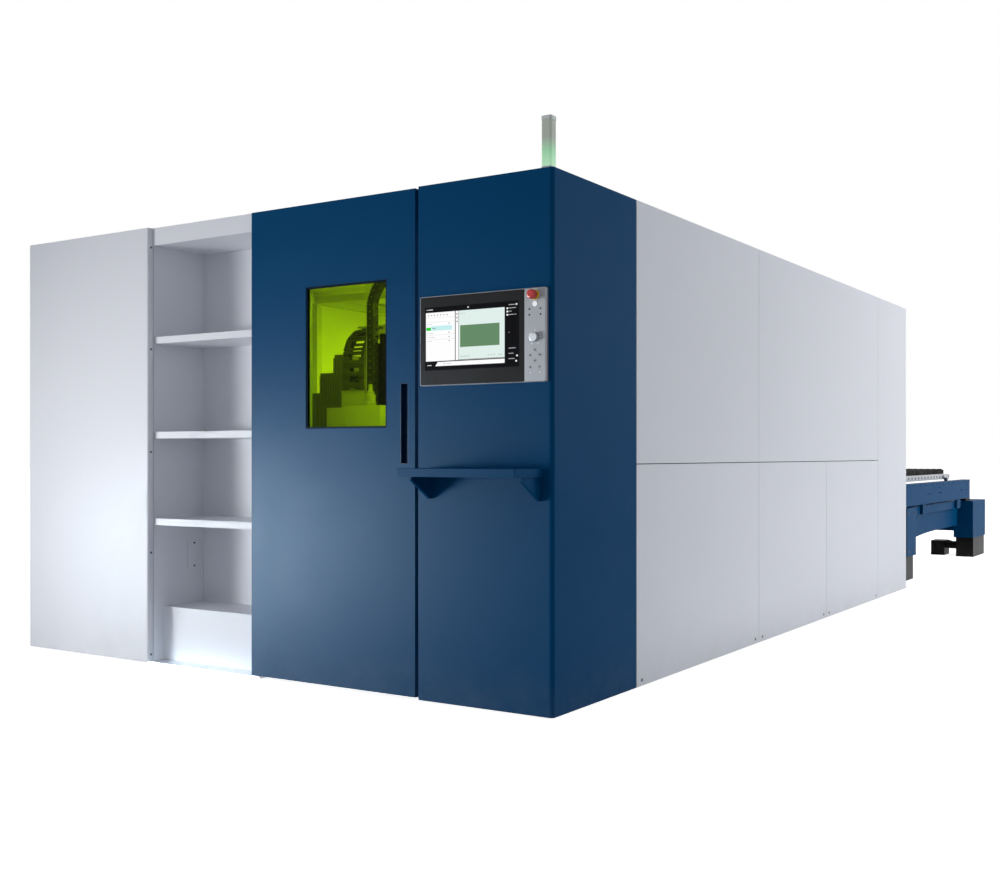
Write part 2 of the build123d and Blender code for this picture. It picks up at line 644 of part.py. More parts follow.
with BuildPart() as estop_collar:
    rod((RIGHT - CONTROL_LINE, PLATE_SPAN[0], ESTOP_HEIGHT), COLLAR_RADIUS, COLLAR_PROUD, OUTWARD)
    chamfer(estop_collar.faces().sort_by(Axis.Y)[0].edges(), length=1.5)
    rod((RIGHT - CONTROL_LINE, PLATE_SPAN[0], ESTOP_HEIGHT), ESTOP_STEM + CONTROL_CLEARANCE, COLLAR_PROUD, OUTWARD,
        mode=Mode.SUBTRACT)
save(estop_collar, "estop_collar")

with BuildPart() as estop_button:
    head = FACE - ESTOP_PROUD
    rod((RIGHT - CONTROL_LINE, head + ESTOP_HEAD, ESTOP_HEIGHT), ESTOP_RADIUS, ESTOP_HEAD, OUTWARD)
    fillet(estop_button.faces().sort_by(Axis.Y)[0].edges(), radius=ESTOP_HEAD / 3)
    rod((RIGHT - CONTROL_LINE, BACK_WALL, ESTOP_HEIGHT), ESTOP_STEM, BACK_WALL - head - ESTOP_HEAD, OUTWARD)
save(estop_button, "estop_button")

with BuildPart() as start_button:
    rod((RIGHT - CONTROL_LINE, BACK_WALL, START_HEIGHT), START_RADIUS, BACK_WALL - FACE + START_PROUD, OUTWARD)
    fillet(start_button.faces().sort_by(Axis.Y)[0].edges(), radius=START_PROUD / 3)
save(start_button, "start_button")

with BuildPart() as override_knob:
    rod((RIGHT - CONTROL_LINE, PLATE_SPAN[0] - CONTROL_CLEARANCE, KNOB_HEIGHT), KNOB_RADIUS, KNOB_PROUD, OUTWARD)
    chamfer(override_knob.faces().sort_by(Axis.Y)[0].edges(), length=1.5)
    # pointer rib on the knob's face
    block((RIGHT - CONTROL_LINE - 1.5, RIGHT - CONTROL_LINE + 1.5),
          (PLATE_SPAN[0] - CONTROL_CLEARANCE - KNOB_PROUD - 1, PLATE_SPAN[0] - KNOB_PROUD),
          (KNOB_HEIGHT + KNOB_RADIUS / 3, KNOB_HEIGHT + KNOB_RADIUS - 3))
    rod((RIGHT - CONTROL_LINE, BACK_WALL, KNOB_HEIGHT), KNOB_SHAFT, BACK_WALL - PLATE_SPAN[0] + 1, OUTWARD)
save(override_knob, "override_knob")


# Signal light
def light_section(low, high, inset):
    """Adds a rounded square piece of the signal light between two heights."""
    with BuildSketch(Plane.XY.offset(low)) as section:
        with Locations((RIGHT - LIGHT_INSET, FRONT + LIGHT_SETBACK)):
            RectangleRounded(LIGHT_SIDE - 2 * inset, LIGHT_SIDE - 2 * inset, LIGHT_ROUND)
    extrude(section.sketch, amount=high - low)


with BuildPart() as signal_light_base:
    light_section(ROOF_TOP, LIGHT_BASE_TOP, 0)
save(signal_light_base, "signal_light_base")

with BuildPart() as signal_light_lens:
    light_section(LIGHT_BASE_TOP, LENS_TOP, 1)
save(signal_light_lens, "signal_light_lens")

with BuildPart() as signal_light_cap:
    light_section(LENS_TOP, LIGHT_TOP, 0)
    fillet(signal_light_cap.faces().sort_by(Axis.Z)[-1].edges(), radius=3)
save(signal_light_cap, "signal_light_cap")

# Machine bed
BED_INNER_RIGHT = BED_RIGHT + BED_SIDE
BED_INNER_LEFT = BED_LEFT - BED_SIDE
with BuildPart() as machine_bed:
    for side in ((BED_RIGHT, BED_INNER_RIGHT), (BED_INNER_LEFT, BED_LEFT)):
        box_tube(across(*side), along(BED_FRONT, BED_BACK), (0, BED_TOP), "Y", wall=BED_WALL)
    for front in (BED_FRONT, BED_BACK - BED_SIDE):
        box_tube(across(BED_INNER_RIGHT + REST_GAP, BED_INNER_LEFT - REST_GAP), along(front, front + BED_SIDE),
                 (0, BED_TIE_TOP), "X", wall=BED_WALL)
    # brackets tie the bed to the cabin's posts
    for post in SIDE_POSTS[1:-1]:
        block(across(RIGHT_TUBE[1] + REST_GAP, BED_RIGHT), along(post, post + TUBE),
              (BED_TOP - 2 * TUBE, BED_TOP - TUBE))
save(machine_bed, "machine_bed")

RAIL_LINES = (BED_RIGHT + BED_SIDE / 2, BED_LEFT - BED_SIDE / 2)
with BuildPart() as bed_rails:
    for line in RAIL_LINES:
        block(across(line - RAIL_WIDTH / 2, line + RAIL_WIDTH / 2), along(BED_FRONT, BED_BACK),
              (BED_TOP, BED_TOP + RAIL_HEIGHT))
save(bed_rails, "bed_rails")

AXLE_HEIGHT = SLAT_LOW - SLAT_CLEARANCE - AXLE_RADIUS
WHEEL_BOTTOM = AXLE_HEIGHT - WHEEL_RADIUS
RAIL_TOP = WHEEL_BOTTOM - REST_GAP
GATE_LINE = along(GATE_FRONT, GATE_FRONT + GATE_THICKNESS)
with BuildPart() as pallet_rails:
    for x_span in both_sides(PALLET_RAIL_RIGHT, PALLET_RAIL_RIGHT + PALLET_RAIL_WIDTH):
        block(x_span, along(PALLET_FRONT - PALLET_TRAVEL - RAIL_OVERRUN, GATE_FRONT - GATE_SLOT_MARGIN),
              (RAIL_TOP - PALLET_RAIL_HEIGHT, RAIL_TOP))
    # the last stretch is held by the posts of the rear opening
    for x_span in both_sides(REAR_POSTS[0][1] + REST_GAP, PALLET_RAIL_RIGHT + PALLET_RAIL_WIDTH):
        block(x_span, along(CABIN_DEPTH - PANEL_DEPTH - TUBE, CABIN_DEPTH - PANEL_DEPTH - REST_GAP),
              (RAIL_TOP - PALLET_RAIL_HEIGHT, RAIL_TOP))
    for x_span in both_sides(OPENING_RIGHT + SEAM, PALLET_RAIL_RIGHT + PALLET_RAIL_WIDTH):
        block(x_span, along(CABIN_DEPTH - PANEL_DEPTH - REST_GAP, FRONT_COLUMN - REST_GAP),
              (RAIL_TOP - PALLET_RAIL_HEIGHT, RAIL_TOP))
save(pallet_rails, "pallet_rails")

with BuildPart() as scrap_pan:
    folded_panel(across(BED_INNER_RIGHT + REST_GAP, BED_INNER_LEFT - REST_GAP), along(PAN_FRONT, PAN_BACK),
                 (PAN_LOW, PAN_HIGH), "+Z", sheet=PAN_WALL)
    # runners on the floor carry the pan
    for x_span in both_sides(BED_INNER_RIGHT + RUNNER_WIDTH, BED_INNER_RIGHT + 2 * RUNNER_WIDTH):
        block(x_span, along(PAN_FRONT, PAN_BACK), (0, PAN_LOW))
save(scrap_pan, "scrap_pan")

TRAY_BACK = BED_CHAIN_FRONT + BED_CHAIN_RADIUS + BED_CHAIN_LINKS * BED_CHAIN_PITCH + GANTRY_TRAVEL + TRAY_SPARE
with BuildPart() as chain_tray:
    box_tube(across(TRAY_RIGHT, TRAY_LEFT), along(BED_CHAIN_FRONT, TRAY_BACK), (TRAY_LOW, TRAY_HIGH), "Y")
    for front in TRAY_POSTS:
        block(across(TRAY_LEFT, TRAY_POST_LEFT), along(front, front + POST_WIDTH),
              (TRAY_HIGH - POST_WIDTH, TRAY_HIGH))
        block(across(TRAY_POST_RIGHT, TRAY_POST_LEFT), along(front, front + POST_WIDTH),
              (0, TRAY_HIGH - POST_WIDTH))
save(chain_tray, "chain_tray")

with BuildPart() as stepped_cover:
    for left, right, top in STEPS:
        block(across(right, left), along(STEP_FRONT, STEP_BACK), (0, top))
    # upright ribs on the face of each step
    rib = STEPS[-1][1] + RIB_PITCH / 2
    while rib < STEPS[0][0]:
        top = next(step[2] for step in STEPS if step[1] <= rib)
        block(across(rib, rib + RIB_PITCH / 3), along(STEP_FRONT - RIB_DEPTH, STEP_FRONT), (0, top - RIB_PITCH))
        rib += RIB_PITCH
save(stepped_cover, "stepped_cover")

with BuildPart() as electrical_cabinet:
    folded_panel(across(CABINET_RIGHT, CABINET_LEFT), along(CABINET_FRONT, CABINET_BACK), (0, CABINET_TOP), "-Z")
save(electrical_cabinet, "electrical_cabinet")

with BuildPart() as laser_source:
    folded_panel(across(CABINET_RIGHT, CABINET_LEFT), along(SOURCE_FRONT, SOURCE_BACK), (0, SOURCE_TOP), "-Z")
save(laser_source, "laser_source")

# Door leaf: a folded tray, stiffened round the window, with three hinge pins in notches of its left edge
LEAF_SPAN = across(DOOR_RIGHT, DOOR_LEFT)
LEAF_HEIGHT = (LEAF_BOTTOM, LEAF_TOP)
LEAF_BACK = along(0, LEAF_DEPTH)
WINDOW_SPAN = across(WINDOW_RIGHT, WINDOW_LEFT)
GRIP_POCKET = along(0, GRIP_DEPTH)
NOTCH_EDGE = PIVOT - PIVOT_INSET
with BuildPart() as door_leaf:
    folded_panel(LEAF_SPAN, LEAF_BACK, LEAF_HEIGHT, "+Y")
    block(across(WINDOW_RIGHT - WINDOW_FRAME, WINDOW_LEFT + WINDOW_FRAME), along(SHEET / 2, LEAF_DEPTH),
          (WINDOW_BOTTOM - WINDOW_FRAME, WINDOW_TOP + WINDOW_FRAME))
    block(WINDOW_SPAN, along(-SHEET, LEAF_DEPTH + SHEET), (WINDOW_BOTTOM, WINDOW_TOP), mode=Mode.SUBTRACT)
    block(across(GRIP_RIGHT - SHEET, GRIP_LEFT + SHEET), along(SHEET / 2, GRIP_DEPTH + SHEET),
          (GRIP_BOTTOM - SHEET, GRIP_TOP + SHEET))
    block(across(GRIP_RIGHT, GRIP_LEFT), along(-SHEET, GRIP_DEPTH), (GRIP_BOTTOM, GRIP_TOP), mode=Mode.SUBTRACT)
    for height in HINGE_HEIGHTS:
        notch = (height - HINGE_NOTCH / 2, height + HINGE_NOTCH / 2)
        block(across(NOTCH_EDGE - SHEET, DOOR_LEFT), along(SHEET / 2, LEAF_DEPTH), (notch[0] - SHEET, notch[1] + SHEET))
        block(across(NOTCH_EDGE, DOOR_LEFT + SHEET), along(SHEET, LEAF_DEPTH + SHEET), notch, mode=Mode.SUBTRACT)
        rod((RIGHT - PIVOT, FRONT + PIVOT_DEPTH, notch[0]), PIN_RADIUS, HINGE_NOTCH, (0, 0, 1))
save(door_leaf, "door_leaf")

with BuildPart() as window_seal:
    block(WINDOW_SPAN, along(SHEET, PANE_FRONT + 2 * PANE_THICKNESS), (WINDOW_BOTTOM, WINDOW_TOP))
    block(across(WINDOW_RIGHT + SEAL_WIDTH, WINDOW_LEFT - SEAL_WIDTH), along(0, LEAF_DEPTH),
          (WINDOW_BOTTOM + SEAL_WIDTH, WINDOW_TOP - SEAL_WIDTH), mode=Mode.SUBTRACT)
save(window_seal, "window_seal")

with BuildPart() as door_window:
    block(across(WINDOW_RIGHT + SEAL_WIDTH, WINDOW_LEFT - SEAL_WIDTH), along(PANE_FRONT, PANE_FRONT + PANE_THICKNESS),
          (WINDOW_BOTTOM + SEAL_WIDTH, WINDOW_TOP - SEAL_WIDTH))
save(door_window, "door_window")

with BuildPart() as door_grip:
    folded_panel(across(GRIP_RIGHT, GRIP_LEFT), GRIP_POCKET, (GRIP_BOTTOM, GRIP_TOP), "-Y", sheet=GRIP_LINER)
save(door_grip, "door_grip")


def chain_link(pitch, width, height):
    """Adds a chain link at the origin that runs along X: two side plates and four cross bars."""
    Box(pitch, width, height)
    Box(2 * pitch, width - 2 * CHAIN_WALL, height - 2 * CHAIN_WALL, mode=Mode.SUBTRACT)
    Box(pitch - CHAIN_BAR, width - 2 * CHAIN_WALL, 2 * height, mode=Mode.SUBTRACT)


def chain_stations(pitch, height, radius, lower_links, bend_links, upper_links):
    """Run, height and turn of each link, with the bend's centre at run 0 and the lower run at height 0."""
    stations = [(pitch * (link + 0.5), 0, 0) for link in range(lower_links)]
    # the links of the bend keep their outer corners inside the bend's outer radius
    reach = math.sqrt((radius + height / 2) ** 2 - (pitch / 2) ** 2) - height / 2
    for link in range(bend_links):
        turn = 180 / bend_links * (link + 0.5)
        angle = math.radians(turn)
        stations.append((-reach * math.sin(angle), radius - reach * math.cos(angle), turn))
    stations += [(pitch * (link + 0.5), 2 * radius, 0) for link in range(upper_links)]
    return stations


# Energy chain of the gantry's long travel, lying on the chain tray
BED_CHAIN_LINE = BED_CHAIN_RADIUS - BED_CHAIN_HEIGHT / 2
with BuildPart() as bed_link:
    chain_link(BED_CHAIN_PITCH, BED_CHAIN_LEFT - BED_CHAIN_RIGHT, BED_CHAIN_HEIGHT)

with BuildPart() as bed_energy_chain:
    centre_x = RIGHT - (BED_CHAIN_RIGHT + BED_CHAIN_LEFT) / 2
    centre_y = FRONT + BED_CHAIN_FRONT + BED_CHAIN_RADIUS
    floor = TRAY_HIGH + REST_GAP + BED_CHAIN_HEIGHT / 2
    stations = chain_stations(BED_CHAIN_PITCH, BED_CHAIN_HEIGHT, BED_CHAIN_LINE, BED_CHAIN_LINKS, BED_BEND_LINKS, 1)
    with Locations(*(Plane(origin=(centre_x, centre_y + run, floor + height),
                           x_dir=(0, math.cos(math.radians(turn)), -math.sin(math.radians(turn))),
                           z_dir=(0, math.sin(math.radians(turn)), math.cos(math.radians(turn)))).location
                     for run, height, turn in stations)):
        add(bed_link.part)
save(bed_energy_chain, "bed_energy_chain")

# Energy chain of the carriage's cross travel, between its tray above the gantry beam and the carriage's mast
MAST = CARRIAGE_CENTRE + CARRIAGE_WIDTH / 2 - 2 * POST_WIDTH
GANTRY_BEND = MAST + POST_WIDTH - GANTRY_CHAIN_UPPER * GANTRY_CHAIN_PITCH
GANTRY_CHAIN_LINE = GANTRY_CHAIN_RADIUS - GANTRY_CHAIN_HEIGHT / 2
GANTRY_CHAIN_TOP = GANTRY_TRAY_TOP + REST_GAP + 2 * GANTRY_CHAIN_RADIUS
with BuildPart() as gantry_link:
    chain_link(GANTRY_CHAIN_PITCH, GANTRY_CHAIN_WIDTH, GANTRY_CHAIN_HEIGHT)

with BuildPart() as gantry_energy_chain:
    centre_x = RIGHT - GANTRY_BEND
    centre_y = FRONT + GANTRY_CHAIN_FRONT + GANTRY_CHAIN_WIDTH / 2
    floor = GANTRY_TRAY_TOP + REST_GAP + GANTRY_CHAIN_HEIGHT / 2
    stations = chain_stations(GANTRY_CHAIN_PITCH, GANTRY_CHAIN_HEIGHT, GANTRY_CHAIN_LINE, GANTRY_CHAIN_LOWER,
                              GANTRY_BEND_LINKS, GANTRY_CHAIN_UPPER)
    with Locations(*(Location((centre_x - run, centre_y, floor + height), (0, -turn, 0))
                     for run, height, turn in stations)):
        add(gantry_link.part)
save(gantry_energy_chain, "gantry_energy_chain")

# Gantry beam with its trucks, the chain posts and the carriage rails
TRUCK_SPAN = (BED_TOP + RAIL_HEIGHT + REST_GAP, BEAM_LOW)
GANTRY_TRAY = (GANTRY_TRAY_TOP - GANTRY_TRAY_THICKNESS, GANTRY_TRAY_TOP)
GANTRY_TRAY_LEFT = GANTRY_BEND + GANTRY_CHAIN_LOWER * GANTRY_CHAIN_PITCH + POST_WIDTH
GANTRY_TRAY_RIGHT = GANTRY_BEND - GANTRY_CHAIN_RADIUS - CARRIAGE_TRAVEL / 2 - 30
GANTRY_TRAY_MIDDLE = (GANTRY_TRAY_LEFT + GANTRY_TRAY_RIGHT - POST_WIDTH) / 2
GANTRY_TRAY_POSTS = (GANTRY_TRAY_LEFT - 2 * POST_WIDTH, GANTRY_TRAY_MIDDLE, GANTRY_TRAY_RIGHT + POST_WIDTH)
LONG_CHAIN_POST = TRAY_RIGHT - POST_WIDTH - 22
POST_DEPTH = along(GANTRY_CHAIN_FRONT + 20, GANTRY_CHAIN_FRONT + 20 + POST_WIDTH)
with BuildPart() as gantry_beam:
    box_tube(across(BEAM_RIGHT, BEAM_LEFT), along(BEAM_FRONT, BEAM_BACK), (BEAM_LOW, BEAM_HIGH), "X", wall=8)
    for line in RAIL_LINES:
        block(across(line - TRUCK_WIDTH / 2, line + TRUCK_WIDTH / 2), along(BEAM_FRONT, BEAM_BACK), TRUCK_SPAN)
    for post in (LONG_CHAIN_POST, *GANTRY_TRAY_POSTS):
        block(across(post, post + POST_WIDTH), POST_DEPTH, (BEAM_HIGH, GANTRY_TRAY[0]))
    block(across(GANTRY_TRAY_RIGHT, GANTRY_TRAY_LEFT),
          along(GANTRY_CHAIN_FRONT, GANTRY_CHAIN_FRONT + GANTRY_CHAIN_WIDTH), GANTRY_TRAY)
    # arm that holds the end of the long chain
    long_chain_top = TRAY_HIGH + 2 * REST_GAP + 2 * BED_CHAIN_RADIUS
    block(across(LONG_CHAIN_POST, BED_CHAIN_LEFT), along(GANTRY_CHAIN_FRONT + 40, GANTRY_CHAIN_FRONT + 150),
          (long_chain_top, GANTRY_TRAY[0]))
save(gantry_beam, "gantry_beam")

CARRIAGE_RAIL_LOWS = (BEAM_LOW + 12, BEAM_HIGH - 12 - RAIL_HEIGHT)
with BuildPart() as gantry_rails:
    for low in CARRIAGE_RAIL_LOWS:
        block(across(BEAM_RIGHT, BEAM_LEFT), along(BEAM_FRONT - 20, BEAM_FRONT), (low, low + RAIL_HEIGHT))
save(gantry_rails, "gantry_rails")

# Carriage with its mast, which reaches back over the gantry's chain
CARRIAGE_BACK = BEAM_FRONT - 20 - RUNNING_GAP
CARRIAGE_SPAN = across(CARRIAGE_CENTRE - CARRIAGE_WIDTH / 2, CARRIAGE_CENTRE + CARRIAGE_WIDTH / 2)
MAST_FRONT = CARRIAGE_BACK - 50
with BuildPart() as head_carriage:
    block(CARRIAGE_SPAN, along(CARRIAGE_FRONT, CARRIAGE_BACK), (CARRIAGE_LOW, CARRIAGE_HIGH))
    fillet(head_carriage.edges().filter_by(Axis.Z).group_by(Axis.Y)[0], radius=12)
    block(across(MAST, MAST + POST_WIDTH), along(MAST_FRONT, CARRIAGE_BACK),
          (CARRIAGE_HIGH, GANTRY_CHAIN_TOP + 15))
    block(across(MAST, MAST + POST_WIDTH), along(MAST_FRONT, GANTRY_CHAIN_FRONT + GANTRY_CHAIN_WIDTH),
          (GANTRY_CHAIN_TOP + REST_GAP, GANTRY_CHAIN_TOP + 15))
save(head_carriage, "head_carriage")

HEAD_MIDDLE = FRONT + (HEAD_FRONT + CARRIAGE_FRONT - RUNNING_GAP) / 2
with BuildPart() as cutting_head:
    block(across(CARRIAGE_CENTRE - HEAD_WIDTH / 2, CARRIAGE_CENTRE + HEAD_WIDTH / 2),
          along(HEAD_FRONT, CARRIAGE_FRONT - RUNNING_GAP), (HEAD_LOW, HEAD_HIGH))
    fillet(cutting_head.edges().filter_by(Axis.Z), radius=8)
    rod((RIGHT - CARRIAGE_CENTRE, HEAD_MIDDLE, HEAD_LOW - 40), 28, 40, (0, 0, 1))
save(cutting_head, "cutting_head")

with BuildPart() as cutting_nozzle:
    with BuildSketch(Plane.XY.offset(HEAD_LOW - 40)):
        with Locations((RIGHT - CARRIAGE_CENTRE, HEAD_MIDDLE)):
            Circle(16)
    with BuildSketch(Plane.XY.offset(NOZZLE_TIP)):
        with Locations((RIGHT - CARRIAGE_CENTRE, HEAD_MIDDLE)):
            Circle(4)
    loft()
    rod((RIGHT - CARRIAGE_CENTRE, HEAD_MIDDLE, NOZZLE_TIP), 1.5, HEAD_LOW - 40 - NOZZLE_TIP, (0, 0, 1),
        mode=Mode.SUBTRACT)
save(cutting_nozzle, "cutting_nozzle")

# Rear gate, stored above the opening, and its guides
GATE_HEIGHT = OPENING_HIGH - OPENING_LOW + 2 * GATE_SLOT_MARGIN
GATE_EDGES = (OPENING_RIGHT - GATE_OVERLAP, OPENING_LEFT + GATE_OVERLAP)
with BuildPart() as rear_gate:
    folded_panel(across(*GATE_EDGES), GATE_LINE, (GATE_OPEN_LOW, GATE_OPEN_LOW + GATE_HEIGHT), "-Y")
save(rear_gate, "rear_gate")

GUIDE_HEIGHT = (GATE_OPEN_LOW - GATE_TRAVEL, GATE_OPEN_LOW + GATE_HEIGHT + 10)
with BuildPart() as gate_guides:
    for inner, outer in ((OPENING_RIGHT - 5, OPENING_RIGHT - 5 - GUIDE_WIDTH),
                         (OPENING_LEFT + 5, OPENING_LEFT + 5 + GUIDE_WIDTH)):
        block(across(inner, outer), along(GATE_FRONT - 10, CABIN_DEPTH - PANEL_DEPTH - TUBE), GUIDE_HEIGHT)
    block(across(GATE_EDGES[0] - GUIDE_CLEARANCE, GATE_EDGES[1] + GUIDE_CLEARANCE),
          along(GATE_FRONT - GUIDE_CLEARANCE, GATE_FRONT + GATE_THICKNESS + GUIDE_CLEARANCE), GUIDE_HEIGHT,
          mode=Mode.SUBTRACT)
save(gate_guides, "gate_guides")

# Pallet changer: base, feet, columns and drive
LOWER_RAIL_TOP = RAIL_TOP - LEVEL_PITCH
BASE_BEAM_TOP = LOWER_RAIL_TOP - CROSS_PLATE - REST_GAP
LEG_STEP = CHANGER_RIGHT + LIFT_BEAM_WIDTH
FRONT_COLUMN_LINE = FRONT_COLUMN + COLUMN_WIDTH / 2
REAR_COLUMN_LINE = (REAR_COLUMN_FRONT + REAR_COLUMN_BACK) / 2
FRONT_ROD = COLUMN_RIGHT + COLUMN_WIDTH / 2
REAR_ROD = REAR_COLUMN_RIGHT + REAR_COLUMN_WIDTH / 2
ROD_PLACES = [(RIGHT - s, FRONT + p)
              for right, p in ((FRONT_ROD, FRONT_COLUMN_LINE), (REAR_ROD, REAR_COLUMN_LINE))
              for s in (right, 2 * PALLET_MIDDLE - right)]


def rod_bores(top):
    """Cuts the bores of the lift's guide rods, from a height down to the floor."""
    for x, y in ROD_PLACES:
        rod((x, y, top), GUIDE_ROD + ROD_CLEARANCE, top, (0, 0, -1), mode=Mode.SUBTRACT)


with BuildPart() as changer_base:
    # each front leg is tall outside the lift frame's lower rail, and low under it
    for x_span in both_sides(CHANGER_RIGHT, LEG_STEP - REST_GAP):
        block(x_span, along(LEG_FRONT, LEG_BACK), (FOOT_HIGH, LEG_HIGH))
    for x_span in both_sides(LEG_STEP, BASE_BEAM_RIGHT - REST_GAP):
        block(x_span, along(LEG_FRONT, LEG_BACK), (FOOT_HIGH, LOWER_RAIL_TOP - LOWER_RAIL_HEIGHT - REST_GAP))
    for x_span in both_sides(BASE_BEAM_RIGHT, BASE_BEAM_LEFT):
        box_tube(x_span, along(LIFT_FRONT, BASE_BEAM_BACK), (BASE_BEAM_LOW, BASE_BEAM_TOP), "Y")
        with BuildSketch(Plane.YZ.offset(x_span[0])) as arch:
            with Locations((FRONT + LEG_BACK, BASE_BEAM_LOW - REST_GAP)):
                Rectangle(LEG_ARCH_LENGTH, LEG_ARCH_HEIGHT, align=(Align.MIN, Align.MAX))
            with Locations((FRONT + LEG_BACK + LEG_ARCH_LENGTH, BASE_BEAM_LOW - REST_GAP - LEG_ARCH_HEIGHT)):
                Ellipse(LEG_ARCH_LENGTH, LEG_ARCH_HEIGHT, mode=Mode.SUBTRACT)
        extrude(arch.sketch, amount=x_span[1] - x_span[0])
    for x_span in both_sides(END_BOX_RIGHT, END_BOX_LEFT):
        end_box = (FOOT_HIGH + REST_GAP, END_BOX_HIGH)
        box_tube(x_span, along(END_BOX_FRONT, MACHINE_DEPTH), end_box, "Y", wall=END_BOX_WALL)
        for front in (END_BOX_FRONT, MACHINE_DEPTH - END_BOX_WALL):
            block(x_span, along(front, front + END_BOX_WALL), end_box)
    cross = across(END_BOX_LEFT + REST_GAP, 2 * PALLET_MIDDLE - END_BOX_LEFT - REST_GAP)
    box_tube(cross, along(MACHINE_DEPTH - END_TIE_BACK - END_TIE_DEPTH, MACHINE_DEPTH - END_TIE_BACK), END_TIE_SPAN, "X")
    rod_bores(END_BOX_HIGH)
save(changer_base, "changer_base")

with BuildPart() as changer_feet:
    for x_span in both_sides(CHANGER_RIGHT + FOOT_INSET, BASE_BEAM_LEFT):
        block(x_span, along(LEG_FRONT + FOOT_INSET, LEG_BACK - FOOT_BACK_INSET), (0, FOOT_HIGH))
    for x_span in both_sides(END_BOX_RIGHT + FOOT_INSET, END_BOX_LEFT - FOOT_INSET):
        block(x_span, along(END_BOX_FRONT + FOOT_BACK_INSET, MACHINE_DEPTH - FOOT_INSET), (0, FOOT_HIGH))
save(changer_feet, "changer_feet")

with BuildPart() as lift_columns:
    for x_span in both_sides(COLUMN_RIGHT, COLUMN_RIGHT + COLUMN_WIDTH):
        block(x_span, along(FRONT_COLUMN, FRONT_COLUMN + COLUMN_WIDTH), (0, COLUMN_TOP))
    for x_span in both_sides(REAR_COLUMN_RIGHT, REAR_COLUMN_RIGHT + REAR_COLUMN_WIDTH):
        block(x_span, along(REAR_COLUMN_FRONT, REAR_COLUMN_BACK), (END_BOX_HIGH, COLUMN_TOP))
    rod_bores(COLUMN_TOP)
save(lift_columns, "lift_columns")

with BuildPart() as lift_drive_motor:
    block(across(MOTOR_LEFT, MOTOR_BASE_LEFT), along(MOTOR_LINE - 50, MOTOR_LINE + 180), (0, MOTOR_BASE_TOP))
    rod((RIGHT - MOTOR_LEFT, FRONT + MOTOR_LINE, MOTOR_HEIGHT), MOTOR_RADIUS, MOTOR_LEFT - MOTOR_RIGHT, (1, 0, 0))
save(lift_drive_motor, "lift_drive_motor")

# Lift frame: side beams, rails on two levels, cross plates, and guide rods in the columns
with BuildPart() as lift_frame:
    for x_span in both_sides(CHANGER_RIGHT, CHANGER_RIGHT + LIFT_BEAM_WIDTH):
        box_tube(x_span, along(LIFT_FRONT, LIFT_BEAM_BACK), (LIFT_BEAM_LOW, LIFT_BEAM_HIGH), "Y")
    bolt = LIFT_FRONT + BOLT_PITCH / 2
    while bolt < LIFT_BEAM_BACK:
        rod((RIGHT - CHANGER_RIGHT, FRONT + bolt, LIFT_BEAM_HIGH - 2 * BOLT_RADIUS), BOLT_RADIUS,
            2 * PALLET_MIDDLE, (-1, 0, 0), mode=Mode.SUBTRACT)
        bolt += BOLT_PITCH
    for x_span in both_sides(LIFT_RAIL_RIGHT, LIFT_RAIL_LEFT):
        block(x_span, along(LIFT_FRONT, LIFT_BEAM_BACK), (RAIL_TOP - LIFT_RAIL_HEIGHT, RAIL_TOP))
        box_tube(x_span, along(LIFT_FRONT, LIFT_BEAM_BACK), (LOWER_RAIL_TOP - LOWER_RAIL_HEIGHT, LOWER_RAIL_TOP), "Y")
    for x_span in both_sides(CHANGER_RIGHT + LIFT_BEAM_WIDTH + REST_GAP, LIFT_RAIL_RIGHT - REST_GAP):
        for front in LIFT_TIES:
            block(x_span, along(front, front + TIE_LENGTH), (LOWER_RAIL_TOP - LOWER_RAIL_HEIGHT, RAIL_TOP))
    for x_span in both_sides(REAR_COLUMN_RIGHT, REAR_COLUMN_RIGHT + REAR_COLUMN_WIDTH):
        block(x_span, along(LIFT_BEAM_BACK + REST_GAP, REAR_COLUMN_BACK),
              (COLUMN_TOP + REST_GAP, COLUMN_TOP + ARM_HEIGHT))
    # short rails in front carry the wheels over the front columns
    for x_span in both_sides(COLUMN_RIGHT, LIFT_RAIL_LEFT):
        block(x_span, along(FRONT_COLUMN + SEAM, LIFT_FRONT - REST_GAP), (COLUMN_TOP + REST_GAP, RAIL_TOP))
    for x_span in both_sides(COLUMN_RIGHT + COLUMN_WIDTH + SEAM, LIFT_RAIL_LEFT):
        block(x_span, along(FRONT_COLUMN + SEAM, LIFT_FRONT - REST_GAP),
              (LOWER_RAIL_TOP - LOWER_RAIL_HEIGHT, LOWER_RAIL_TOP))
    for x, y in ROD_PLACES:
        rod((x, y, COLUMN_TOP + REST_GAP), GUIDE_ROD, ROD_LENGTH, (0, 0, -1))
    plate = across(LIFT_RAIL_LEFT + REST_GAP, 2 * PALLET_MIDDLE - LIFT_RAIL_LEFT - REST_GAP)
    for front in (LIFT_FRONT, LIFT_BEAM_BACK - TIE_LENGTH):
        block(plate, along(front, front + TIE_LENGTH), (LOWER_RAIL_TOP - CROSS_PLATE, LOWER_RAIL_TOP))
save(lift_frame, "lift_frame")

# Pallets: ladder frame, serrated slats and wheelsets, alike on both levels
PALLET_MID_BAR = across(PALLET_MIDDLE - PALLET_BAR / 2, PALLET_MIDDLE + PALLET_BAR / 2)
INNER_PALLET = (PALLET_RIGHT + PALLET_BAR, PALLET_LEFT - PALLET_BAR)
AXLE_LINES = (PALLET_FRONT + WHEEL_INSET, PALLET_BACK - WHEEL_INSET)
AXLE_HALF = PALLET_MIDDLE - PALLET_RIGHT + WHEEL_GAP + WHEEL_WIDTH


